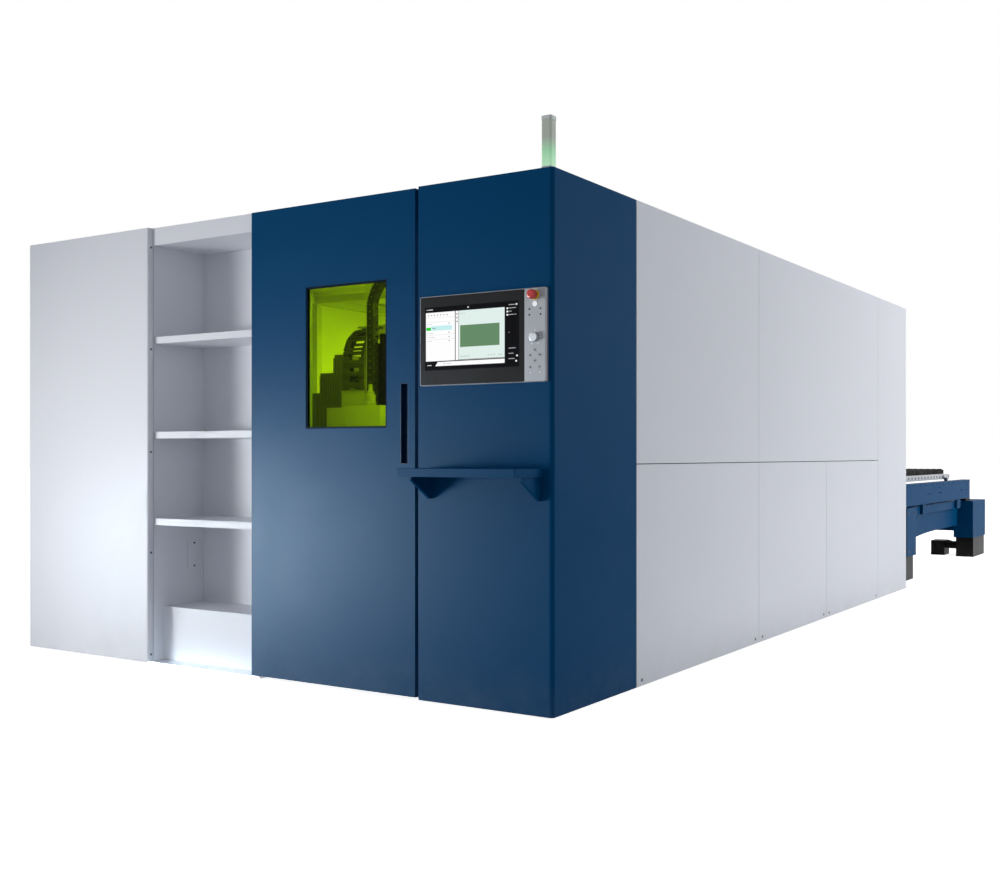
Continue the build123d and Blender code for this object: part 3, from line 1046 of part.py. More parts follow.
def axle(line, drop, radius, mode=Mode.ADD):
    """Adds or cuts the axle of one wheelset across the whole pallet."""
    rod((RIGHT - PALLET_MIDDLE - AXLE_HALF, FRONT + line, AXLE_HEIGHT - drop), radius, 2 * AXLE_HALF, (1, 0, 0),
        mode=mode)


def pallet_frame(drop):
    """Adds a pallet's side bars, end bars and middle bar, a level lower by drop."""
    bars = (PALLET_LOW - drop, PALLET_HIGH - drop)
    for x_span in both_sides(PALLET_RIGHT, PALLET_RIGHT + PALLET_BAR):
        box_tube(x_span, along(PALLET_FRONT, PALLET_BACK), bars, "Y")
    for front in (PALLET_FRONT, PALLET_BACK - PALLET_BAR):
        box_tube(across(INNER_PALLET[0] + REST_GAP, INNER_PALLET[1] - REST_GAP), along(front, front + PALLET_BAR),
                 bars, "X")
    block(PALLET_MID_BAR, along(PALLET_FRONT + PALLET_BAR + REST_GAP, PALLET_BACK - PALLET_BAR - REST_GAP),
          (PALLET_LOW - drop, SLAT_LOW - drop))
    for line in AXLE_LINES:
        axle(line, drop, AXLE_RADIUS + PIN_CLEARANCE, mode=Mode.SUBTRACT)


def slats(drop):
    """Adds the row of serrated slats of one pallet."""
    teeth = round((INNER_PALLET[1] - INNER_PALLET[0]) / TOOTH_PITCH)
    step = (INNER_PALLET[1] - INNER_PALLET[0]) / teeth
    left = RIGHT - INNER_PALLET[1]
    outline = [(left, SLAT_LOW - drop), (left, SLAT_TIP - TOOTH_DEPTH - drop)]
    for tooth in range(teeth):
        outline.append((left + step * (tooth + 0.5), SLAT_TIP - drop))
        outline.append((left + step * (tooth + 1), SLAT_TIP - TOOTH_DEPTH - drop))
    outline.append((left + step * teeth, SLAT_LOW - drop))
    first = PALLET_FRONT + PALLET_BAR + SLAT_PITCH / 2
    count = int((PALLET_BACK - PALLET_BAR - SLAT_PITCH / 2 - first) / SLAT_PITCH) + 1
    with BuildSketch(*(Plane.XZ.offset(-(FRONT + first + SLAT_PITCH * slat)) for slat in range(count))) as faces:
        Polygon(*outline, align=None)
    extrude(faces.sketch, amount=SLAT_THICKNESS)


def wheelset(line, drop):
    """Adds one axle with a wheel fixed on each end."""
    axle(line, drop, AXLE_RADIUS)
    for start, direction in ((RIGHT - PALLET_MIDDLE - AXLE_HALF, 1), (RIGHT - PALLET_MIDDLE + AXLE_HALF, -1)):
        rod((start, FRONT + line, AXLE_HEIGHT - drop), WHEEL_RADIUS, WHEEL_WIDTH, (direction, 0, 0))


for level, drop in (("upper", 0), ("lower", LEVEL_PITCH)):
    with BuildPart() as frame_piece:
        pallet_frame(drop)
    save(frame_piece, f"{level}_pallet_frame")
    with BuildPart() as slat_piece:
        slats(drop)
    save(slat_piece, f"{level}_pallet_slats")
    for place, line in zip(("front", "rear"), AXLE_LINES):
        with BuildPart() as wheel_piece:
            wheelset(line, drop)
        save(wheel_piece, f"{level}_{place}_wheelset")
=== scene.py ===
import json
import math

import bmesh
import bpy
from bpy.props import FloatProperty, FloatVectorProperty, IntProperty, PointerProperty
from mathutils import Matrix, Vector


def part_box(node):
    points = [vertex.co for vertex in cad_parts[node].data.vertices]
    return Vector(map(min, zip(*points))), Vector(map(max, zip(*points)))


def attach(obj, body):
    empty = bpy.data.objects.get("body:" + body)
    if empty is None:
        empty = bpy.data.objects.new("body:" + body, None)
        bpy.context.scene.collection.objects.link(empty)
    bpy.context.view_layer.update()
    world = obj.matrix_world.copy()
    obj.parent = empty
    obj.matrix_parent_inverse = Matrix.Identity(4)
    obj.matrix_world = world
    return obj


bl_info = {
    "name": "Laser Cutting Machine",
    "version": (1, 0, 0),
    "blender": (4, 5, 0),
    "location": "View3D > Sidebar > Laser Cutter",
    "description": "Dresses the frame of a fiber laser cutting machine with finishes, controls and fittings",
    "category": "Object",
}

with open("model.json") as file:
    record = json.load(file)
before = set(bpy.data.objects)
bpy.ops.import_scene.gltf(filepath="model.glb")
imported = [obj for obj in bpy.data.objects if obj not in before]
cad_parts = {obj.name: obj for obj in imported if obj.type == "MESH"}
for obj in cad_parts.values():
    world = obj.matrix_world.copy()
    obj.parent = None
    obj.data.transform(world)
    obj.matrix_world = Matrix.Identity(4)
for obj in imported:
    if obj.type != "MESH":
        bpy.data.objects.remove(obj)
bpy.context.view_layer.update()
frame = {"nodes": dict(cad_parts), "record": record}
MM = 0.001
CORNER = Vector((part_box("corner_panel")[1].x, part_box("corner_panel")[0].y, 0.0))


def at(left, behind, height):
    """Point in metres, from millimetres left of the right side, behind the front and above the floor."""
    return Vector((CORNER.x - left * MM, CORNER.y + behind * MM, height * MM))


# Sizes and colours that a user would change

def colour(name, description, default):
    """Setting for a colour."""
    return FloatVectorProperty(name=name, description=description, subtype="COLOR", size=3, min=0.0, max=1.0,
                               default=default)


class CabinSettings(bpy.types.PropertyGroup):
    front_blue: colour("Front Blue", "Powder coat of the operator front and the changer",
                       (0.0005, 0.056, 0.154))
    panel_white: colour("Panel White", "Powder coat of the side, niche and roof panels",
                        (0.805, 0.815, 0.855))
    frame_grey: colour("Frame Grey", "Paint of the frame, bed and gantry", (0.62, 0.64, 0.67))
    grain_height: FloatProperty(name="Grain Height", description="Height of the powder coat's grain",
                                unit="LENGTH", default=0.00004, min=0.0, max=0.001, precision=5)
    fold_radius: FloatProperty(name="Fold Radius", description="Radius at the folds of the sheet panels",
                               unit="LENGTH", default=0.0018, min=0.0001, max=0.01, precision=4)
    lamp_width: FloatProperty(name="Lamp Width", description="Width of the lamp bars inside the cabin",
                              unit="LENGTH", default=0.04, min=0.01, max=0.2)
    lamp_power: FloatProperty(name="Lamp Power", description="Power of each lamp bar inside the cabin",
                              unit="POWER", default=75.0, min=0.0)


class ConsoleSettings(bpy.types.PropertyGroup):
    screen_white: colour("Screen White", "Brightest colour on the screen", (0.98, 0.98, 0.98))
    sheet_green: colour("Sheet Green", "Colour of the metal sheet drawn on the screen", (0.125, 0.25, 0.13))
    mark_depth: FloatProperty(name="Mark Depth", description="Thickness of printed marks", unit="LENGTH",
                              default=0.0001, min=0.00002, max=0.001, precision=5)
    scale_marks: IntProperty(name="Scale Marks", description="Number of marks round the override knob",
                             default=11, min=3, max=31)


class InsideSettings(bpy.types.PropertyGroup):
    hose_radius: FloatProperty(name="Hose Radius", description="Radius of the hoses in the energy chains",
                               unit="LENGTH", default=0.009, min=0.003, max=0.02)
    hose_count: IntProperty(name="Hoses", description="Number of hoses side by side in each energy chain",
                            default=4, min=1, max=6)
    stiffener_depth: FloatProperty(name="Stiffener Depth",
                                   description="Depth of the stiffeners behind the door leaf",
                                   unit="LENGTH", default=0.03, min=0.01, max=0.04)


class ChangerSettings(bpy.types.PropertyGroup):
    bolt_radius: FloatProperty(name="Bolt Radius", description="Radius of the changer's bolt heads",
                               unit="LENGTH", default=0.008, min=0.003, max=0.02)
    bolt_height: FloatProperty(name="Bolt Height", description="Height of the changer's bolt heads",
                               unit="LENGTH", default=0.005, min=0.001, max=0.02)
    slat_soot: FloatProperty(name="Slat Soot", description="How dark cutting has left the slats", default=0.8,
                             min=0.0, max=1.0)


class StageSettings(bpy.types.PropertyGroup):
    floor_white: colour("Floor White", "Colour of the studio floor", (0.86, 0.87, 0.88))
    sky_level: FloatProperty(name="Sky Level", description="Strength of the light from all around",
                             default=0.345, min=0.0, max=3.0)
    key_power: FloatProperty(name="Key Power", description="Power of the soft lamp on the left", unit="POWER",
                             default=24.0, min=0.0)
    key_spread: FloatProperty(name="Key Spread", description="Angle of the beam of the lamp on the left",
                              subtype="ANGLE", default=math.radians(50.0), min=0.1, max=math.pi)
    gloss_power: FloatProperty(name="Gloss Power", description="Power of the lamp seen as sheen on the door",
                               unit="POWER", default=310.0, min=0.0)
    gloss_spread: FloatProperty(name="Gloss Spread", description="Angle of the beam of the sheen lamp",
                                subtype="ANGLE", default=math.radians(80.0), min=0.1, max=math.pi)
    back_power: FloatProperty(name="Back Power", description="Power of the soft lamp behind the machine",
                              unit="POWER", default=420.0, min=0.0)
    roof_power: FloatProperty(name="Roof Power", description="Power of the soft lamp above the machine",
                              unit="POWER", default=90.0, min=0.0)
    roof_spread: FloatProperty(name="Roof Spread",
                               description="Angle of the beam of the lamp above the machine",
                               subtype="ANGLE", default=math.radians(50.0), min=0.1, max=math.pi)
    side_power: FloatProperty(name="Side Power", description="Power of the soft lamp on the right",
                              unit="POWER", default=320.0, min=0.0)
    lens: FloatProperty(name="Lens", description="Focal length of the camera", subtype="DISTANCE_CAMERA",
                        default=42.822, min=10.0, max=200.0)


# Shader nodes

def add_node(tree, kind, values=None, **settings):
    """Adds a node. A socket given a socket is linked to it, and one given a value takes it."""
    node = tree.nodes.new(kind)
    for key, value in settings.items():
        setattr(node, key, value)
    for key, value in (values or {}).items():
        if isinstance(value, bpy.types.NodeSocket):
            tree.links.new(value, node.inputs[key])
        else:
            node.inputs[key].default_value = value
    return node


def number(tree, operation, *values):
    """Result of a Math node."""
    return add_node(tree, "ShaderNodeMath", dict(enumerate(values)), operation=operation).outputs[0]


def rgba(triple):
    """A colour with full opacity, as the sockets take it."""
    return (*triple, 1.0)


SOCKETS = {"color": "NodeSocketColor", "number": "NodeSocketFloat", "vector": "NodeSocketVector"}


def effect(name, inputs, outputs):
    """Starts a shader node group. Returns it, its inputs and its output node."""
    group = bpy.data.node_groups.new(name, "ShaderNodeTree")
    for label, kind, default in inputs:
        group.interface.new_socket(label, in_out="INPUT", socket_type=SOCKETS[kind]).default_value = default
    for label, kind in outputs:
        group.interface.new_socket(label, in_out="OUTPUT", socket_type=SOCKETS[kind])
    return group, group.nodes.new("NodeGroupInput").outputs, group.nodes.new("NodeGroupOutput")


def give(group, result, values):
    """Links an effect's results to its output node."""
    for label, value in values.items():
        group.links.new(value, result.inputs[label])


def build_powder_coat():
    """Fine grain, slow change of tone, and rounded folds of a sprayed or moulded surface."""
    group, given, result = effect(
        "Powder Coat",
        (("Paint", "color", (0.5, 0.5, 0.5, 1.0)), ("Roughness", "number", 0.4),
         ("Grain Scale", "number", 900.0), ("Grain Height", "number", 0.00004),
         ("Mottle", "number", 0.05), ("Gloss Change", "number", 0.08), ("Fold Radius", "number", 0.0015)),
        (("Color", "color"), ("Roughness", "number"), ("Normal", "vector")))
    place = add_node(group, "ShaderNodeTexCoord").outputs["Object"]
    grain = add_node(group, "ShaderNodeTexNoise",
                     {"Vector": place, "Scale": given["Grain Scale"], "Detail": 2.0})
    cloud = add_node(group, "ShaderNodeTexNoise", {"Vector": place, "Scale": 1.1, "Detail": 3.0})
    smear = add_node(group, "ShaderNodeTexNoise",
                     {"Vector": place, "Scale": 6.0, "Detail": 5.0, "Distortion": 0.6})
    tone = number(group, "MULTIPLY_ADD", number(group, "SUBTRACT", cloud.outputs["Fac"], 0.5),
                  given["Mottle"], 1.0)
    fine = number(group, "MULTIPLY_ADD", number(group, "SUBTRACT", grain.outputs["Fac"], 0.5),
                  given["Mottle"], tone)
    paint = add_node(group, "ShaderNodeVectorMath", {0: given["Paint"], "Scale": fine}, operation="SCALE")
    gloss = number(group, "MULTIPLY_ADD", number(group, "SUBTRACT", smear.outputs["Fac"], 0.5),
                   given["Gloss Change"], given["Roughness"])
    fold = add_node(group, "ShaderNodeBevel", {"Radius": given["Fold Radius"]}, samples=4)
    bump = add_node(group, "ShaderNodeBump", {"Strength": 1.0, "Distance": given["Grain Height"],
                                              "Height": grain.outputs["Fac"],
                                              "Normal": fold.outputs["Normal"]})
    give(group, result, {"Color": paint.outputs["Vector"], "Roughness": gloss,
                         "Normal": bump.outputs["Normal"]})
    return group


def build_edge_wear_and_highlight():
    """Mask of the outer and inner edges, broken up as handling leaves them, for both wear and a painted
    highlight on the edges.
    """
    group, given, result = effect(
        "Edge Wear And Highlight", (("Width", "number", 0.0015), ("Amount", "number", 0.5),
                      ("Patch Scale", "number", 14.0)),
        (("Mask", "number"),))
    place = add_node(group, "ShaderNodeTexCoord").outputs["Object"]
    fold = add_node(group, "ShaderNodeBevel", {"Radius": given["Width"]}, samples=4)
    true = add_node(group, "ShaderNodeNewGeometry")
    turn = add_node(group, "ShaderNodeVectorMath", {0: fold.outputs["Normal"], 1: true.outputs["Normal"]},
                    operation="DOT_PRODUCT")
    edge = add_node(group, "ShaderNodeMapRange",
                    {"Value": turn.outputs["Value"], "From Min": 0.995, "From Max": 0.9,
                     "To Min": 0.0, "To Max": 1.0})
    patch = add_node(group, "ShaderNodeTexNoise",
                     {"Vector": place, "Scale": given["Patch Scale"], "Detail": 6.0, "Roughness": 0.7})
    broken = add_node(group, "ShaderNodeMapRange",
                      {"Value": patch.outputs["Fac"], "From Min": 0.42, "From Max": 0.62})
    give(group, result, {"Mask": number(group, "MULTIPLY", number(group, "MULTIPLY", edge.outputs["Result"],
                                                                  broken.outputs["Result"]),
                                        given["Amount"])})
    return group


def build_floor_dust():
    """Mask of the dust that settles near the floor and on faces that look up."""
    group, given, result = effect(
        "Floor Dust", (("Reach", "number", 0.25), ("Amount", "number", 0.3)), (("Mask", "number"),))
    place = add_node(group, "ShaderNodeTexCoord").outputs["Object"]
    height = add_node(group, "ShaderNodeSeparateXYZ", {0: place}).outputs["Z"]
    low = add_node(group, "ShaderNodeMapRange", {"Value": height, "From Min": 0.0, "From Max": given["Reach"],
                                                 "To Min": 1.0, "To Max": 0.0},
                   interpolation_type="SMOOTHSTEP")
    normal = add_node(group, "ShaderNodeNewGeometry").outputs["Normal"]
    up = number(group, "MAXIMUM", add_node(group, "ShaderNodeSeparateXYZ", {0: normal}).outputs["Z"], 0.0)
    lying = number(group, "MULTIPLY_ADD", up, 0.35, low.outputs["Result"])
    patch = add_node(group, "ShaderNodeTexNoise",
                     {"Vector": place, "Scale": 7.0, "Detail": 8.0, "Roughness": 0.65})
    spread = add_node(group, "ShaderNodeMapRange",
                      {"Value": patch.outputs["Fac"], "From Min": 0.3, "From Max": 0.75})
    mask = number(group, "MULTIPLY", number(group, "MULTIPLY", lying, spread.outputs["Result"]),
                  given["Amount"])
    give(group, result, {"Mask": number(group, "MINIMUM", mask, 1.0)})
    return group


def build_brushed_grain():
    """Fine lines that grinding or rolling leaves along one direction."""
    group, given, result = effect(
        "Brushed Grain",
        (("Metal", "color", (0.6, 0.6, 0.6, 1.0)), ("Roughness", "number", 0.3),
         ("Lines", "vector", (6.0, 500.0, 500.0)),
         ("Line Height", "number", 0.00003), ("Tone Change", "number", 0.15),
         ("Fold Radius", "number", 0.0008)),
        (("Color", "color"), ("Roughness", "number"), ("Normal", "vector")))
    place = add_node(group, "ShaderNodeTexCoord").outputs["Object"]
    drawn = add_node(group, "ShaderNodeVectorMath", {0: place, 1: given["Lines"]}, operation="MULTIPLY")
    line = add_node(group, "ShaderNodeTexNoise",
                    {"Vector": drawn.outputs["Vector"], "Scale": 1.0, "Detail": 3.0})
    cloud = add_node(group, "ShaderNodeTexNoise", {"Vector": place, "Scale": 9.0, "Detail": 4.0})
    both = number(group, "ADD", number(group, "SUBTRACT", line.outputs["Fac"], 0.5),
                  number(group, "SUBTRACT", cloud.outputs["Fac"], 0.5))
    tone = number(group, "MULTIPLY_ADD", both, given["Tone Change"], 1.0)
    metal = add_node(group, "ShaderNodeVectorMath", {0: given["Metal"], "Scale": tone}, operation="SCALE")
    gloss = number(group, "MULTIPLY_ADD", both, given["Tone Change"], given["Roughness"])
    fold = add_node(group, "ShaderNodeBevel", {"Radius": given["Fold Radius"]}, samples=4)
    bump = add_node(group, "ShaderNodeBump", {"Strength": 1.0, "Distance": given["Line Height"],
                                              "Height": line.outputs["Fac"],
                                              "Normal": fold.outputs["Normal"]})
    give(group, result, {"Color": metal.outputs["Vector"], "Roughness": gloss,
                         "Normal": bump.outputs["Normal"]})
    return group


def build_cutting_soot():
    """Mask of soot and spatter that cutting leaves."""
    group, given, result = effect("Cutting Soot", (("Amount", "number", 0.8), ("Spot Scale", "number", 60.0)),
                                  (("Mask", "number"),))
    place = add_node(group, "ShaderNodeTexCoord").outputs["Object"]
    cloud = add_node(group, "ShaderNodeTexNoise",
                     {"Vector": place, "Scale": 5.0, "Detail": 8.0, "Roughness": 0.7})
    spots = add_node(group, "ShaderNodeTexVoronoi", {"Vector": place, "Scale": given["Spot Scale"]})
    spatter = add_node(group, "ShaderNodeMapRange", {"Value": spots.outputs["Distance"], "From Min": 0.12,
                                                     "From Max": 0.3, "To Min": 1.0, "To Max": 0.0})
    soft = add_node(group, "ShaderNodeMapRange",
                    {"Value": cloud.outputs["Fac"], "From Min": 0.3, "From Max": 0.6})
    mask = number(group, "MAXIMUM", soft.outputs["Result"],
                  number(group, "MULTIPLY", spatter.outputs["Result"], 0.5))
    give(group, result, {"Mask": number(group, "MULTIPLY", mask, given["Amount"])})
    return group


EFFECTS = {"Powder Coat": build_powder_coat, "Edge Wear And Highlight": build_edge_wear_and_highlight, "Floor Dust": build_floor_dust,
           "Brushed Grain": build_brushed_grain, "Cutting Soot": build_cutting_soot}


def use_effect(tree, name, **values):
    """Places an effect in a material with its own values. Underscores in a name stand for spaces."""
    group = bpy.data.node_groups.get(name) or EFFECTS[name]()
    node = add_node(tree, "ShaderNodeGroup", node_tree=group)
    for key, value in values.items():
        socket = node.inputs[key.replace("_", " ").title()]
        if isinstance(value, bpy.types.NodeSocket):
            tree.links.new(value, socket)
        else:
            socket.default_value = value
    return node.outputs


def start_finish(name, **plain):
    """Starts a material with plain values on its shader. Returns it, its tree and its shader."""
    material = bpy.data.materials.new(name)
    material.use_nodes = True
    shader = material.node_tree.nodes["Principled BSDF"]
    for key, value in plain.items():
        shader.inputs[key.replace("_", " ")].default_value = value
    return material, material.node_tree, shader


def blend_colours(tree, mask, under, over):
    """Mixes two colours by a mask."""
    node = add_node(tree, "ShaderNodeMix", data_type="RGBA")
    for socket, value in ((node.inputs[0], mask), (node.inputs[6], under), (node.inputs[7], over)):
        if isinstance(value, bpy.types.NodeSocket):
            tree.links.new(value, socket)
        else:
            socket.default_value = value
    return node.outputs[2]


DUST = (0.42, 0.41, 0.40, 1.0)


def painted(name, paint, roughness=0.42, specular=0.4, grain=700.0, mottle=0.05, edge_wear_and_highlight=0.25,
            wear_and_highlight_colour=(0.45, 0.46, 0.48), dust=0.25, metallic=0.0):
    """Powder-coated sheet with edges that are partly worn and partly lit by a painted highlight, and some
    dust near the floor.
    """
    cabin = bpy.context.scene.laser_cabin
    material, tree, shader = start_finish(name, Metallic=metallic, Specular_IOR_Level=specular)
    coat = use_effect(tree, "Powder Coat", paint=rgba(paint), roughness=roughness, grain_scale=grain,
                      mottle=mottle, gloss_change=0.1, grain_height=cabin.grain_height,
                      fold_radius=cabin.fold_radius)
    # Edge mask: partly wear, partly painted highlight. It lightens the edges of dark paints and darkens those
    # of pale ones.
    edge = use_effect(tree, "Edge Wear And Highlight", width=0.0012, amount=edge_wear_and_highlight)
    floor = use_effect(tree, "Floor Dust", amount=dust)
    worn_and_highlit = blend_colours(tree, edge["Mask"], coat["Color"], rgba(wear_and_highlight_colour))
    tree.links.new(blend_colours(tree, floor["Mask"], worn_and_highlit, DUST), shader.inputs["Base Color"])
    tree.links.new(number(tree, "MULTIPLY_ADD", floor["Mask"], 0.4, coat["Roughness"]),
                   shader.inputs["Roughness"])
    tree.links.new(coat["Normal"], shader.inputs["Normal"])
    return material


def moulded(name, plastic, roughness=0.45, specular=0.45, grain=1600.0, mottle=0.06, height=0.00003,
            dust=0.1):
    """Moulded plastic or rubber with a fine grain."""
    material, tree, shader = start_finish(name, Specular_IOR_Level=specular)
    coat = use_effect(tree, "Powder Coat", paint=rgba(plastic), roughness=roughness, grain_scale=grain,
                      mottle=mottle, gloss_change=0.12, grain_height=height, fold_radius=0.0006)
    floor = use_effect(tree, "Floor Dust", amount=dust)
    tree.links.new(blend_colours(tree, floor["Mask"], coat["Color"], DUST), shader.inputs["Base Color"])
    tree.links.new(coat["Roughness"], shader.inputs["Roughness"])
    tree.links.new(coat["Normal"], shader.inputs["Normal"])
    return material


def bare_metal(name, metal, roughness, lines, tone=0.2, soot=0.0):
    """Ground, rolled or turned metal, with soot where cutting reaches it."""
    material, tree, shader = start_finish(name, Metallic=1.0)
    grain = use_effect(tree, "Brushed Grain", metal=rgba(metal), roughness=roughness, lines=lines,
                       line_height=0.00003, tone_change=tone)
    surface, rough = grain["Color"], grain["Roughness"]
    if soot:
        burnt = use_effect(tree, "Cutting Soot", amount=soot)
        surface = blend_colours(tree, burnt["Mask"], surface, (0.02, 0.018, 0.016, 1.0))
        rough = number(tree, "MULTIPLY_ADD", burnt["Mask"], 0.35, rough)
        tree.links.new(number(tree, "SUBTRACT", 1.0, burnt["Mask"]), shader.inputs["Metallic"])
    tree.links.new(surface, shader.inputs["Base Color"])
    tree.links.new(rough, shader.inputs["Roughness"])
    tree.links.new(grain["Normal"], shader.inputs["Normal"])
    return material


def clear_pane(name, tint):
    """Tinted pane with faint wiping marks."""
    material, tree, shader = start_finish(name, Transmission_Weight=1.0, IOR=1.12)
    shader.inputs["Base Color"].default_value = rgba(tint)
    place = add_node(tree, "ShaderNodeTexCoord").outputs["Object"]
    wiped = add_node(tree, "ShaderNodeTexNoise",
                     {"Vector": place, "Scale": 5.0, "Detail": 6.0, "Distortion": 1.5})
    film = add_node(tree, "ShaderNodeMapRange",
                    {"Value": wiped.outputs["Fac"], "From Min": 0.45, "From Max": 0.8,
                     "To Min": 0.0, "To Max": 0.006})
    tree.links.new(film.outputs["Result"], shader.inputs["Roughness"])
    return material


def lit(name, glow, strength=1.0):
    """Lit part of a screen or lamp, with a fine pattern of picture dots."""
    material, tree, shader = start_finish(name, Roughness=0.3, Specular_IOR_Level=0.005,
                                          Emission_Strength=strength)
    shader.inputs["Base Color"].default_value = (0.01, 0.01, 0.012, 1.0)
    place = add_node(tree, "ShaderNodeTexCoord").outputs["Object"]
    dots = add_node(tree, "ShaderNodeTexNoise", {"Vector": place, "Scale": 2500.0, "Detail": 1.0})
    tone = number(tree, "MULTIPLY_ADD", dots.outputs["Fac"], 0.03, 0.985)
    shade = add_node(tree, "ShaderNodeVectorMath", {0: rgba(glow)[:3], "Scale": tone}, operation="SCALE")
    tree.links.new(shade.outputs["Vector"], shader.inputs["Emission Color"])
    return material


def signal_lens(name):
    """Frosted lens whose lower part glows green and fades to grey."""
    material, tree, shader = start_finish(name, Emission_Strength=0.55, Specular_IOR_Level=0.5)
    coat = use_effect(tree, "Powder Coat", paint=(0.5, 0.6, 0.5, 1.0), roughness=0.22, grain_scale=500.0,
                      mottle=0.05, gloss_change=0.05, grain_height=0.00002, fold_radius=0.002)
    place = add_node(tree, "ShaderNodeTexCoord").outputs["Object"]
    height = add_node(tree, "ShaderNodeSeparateXYZ", {0: place}).outputs["Z"]
    low, high = (corner.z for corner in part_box("signal_light_lens"))
    share = add_node(tree, "ShaderNodeMapRange", {"Value": height, "From Min": low, "From Max": high})
    ramp = add_node(tree, "ShaderNodeValToRGB", {"Fac": share.outputs["Result"]})
    ramp.color_ramp.elements[0].color = (0.5, 0.84, 0.54, 1.0)
    ramp.color_ramp.elements[1].color = (0.17, 0.19, 0.16, 1.0)
    ramp.color_ramp.elements[1].position = 0.62
    ramp.color_ramp.elements.new(0.3).color = (0.22, 0.62, 0.3, 1.0)
    body = add_node(tree, "ShaderNodeValToRGB", {"Fac": share.outputs["Result"]})
    body.color_ramp.elements[0].color = (0.3, 0.5, 0.33, 1.0)
    body.color_ramp.elements[1].color = (0.33, 0.36, 0.31, 1.0)
    body.color_ramp.elements[1].position = 0.6
    tree.links.new(ramp.outputs["Color"], shader.inputs["Emission Color"])
    tree.links.new(body.outputs["Color"], shader.inputs["Base Color"])
    tree.links.new(coat["Roughness"], shader.inputs["Roughness"])
    tree.links.new(coat["Normal"], shader.inputs["Normal"])
    return material


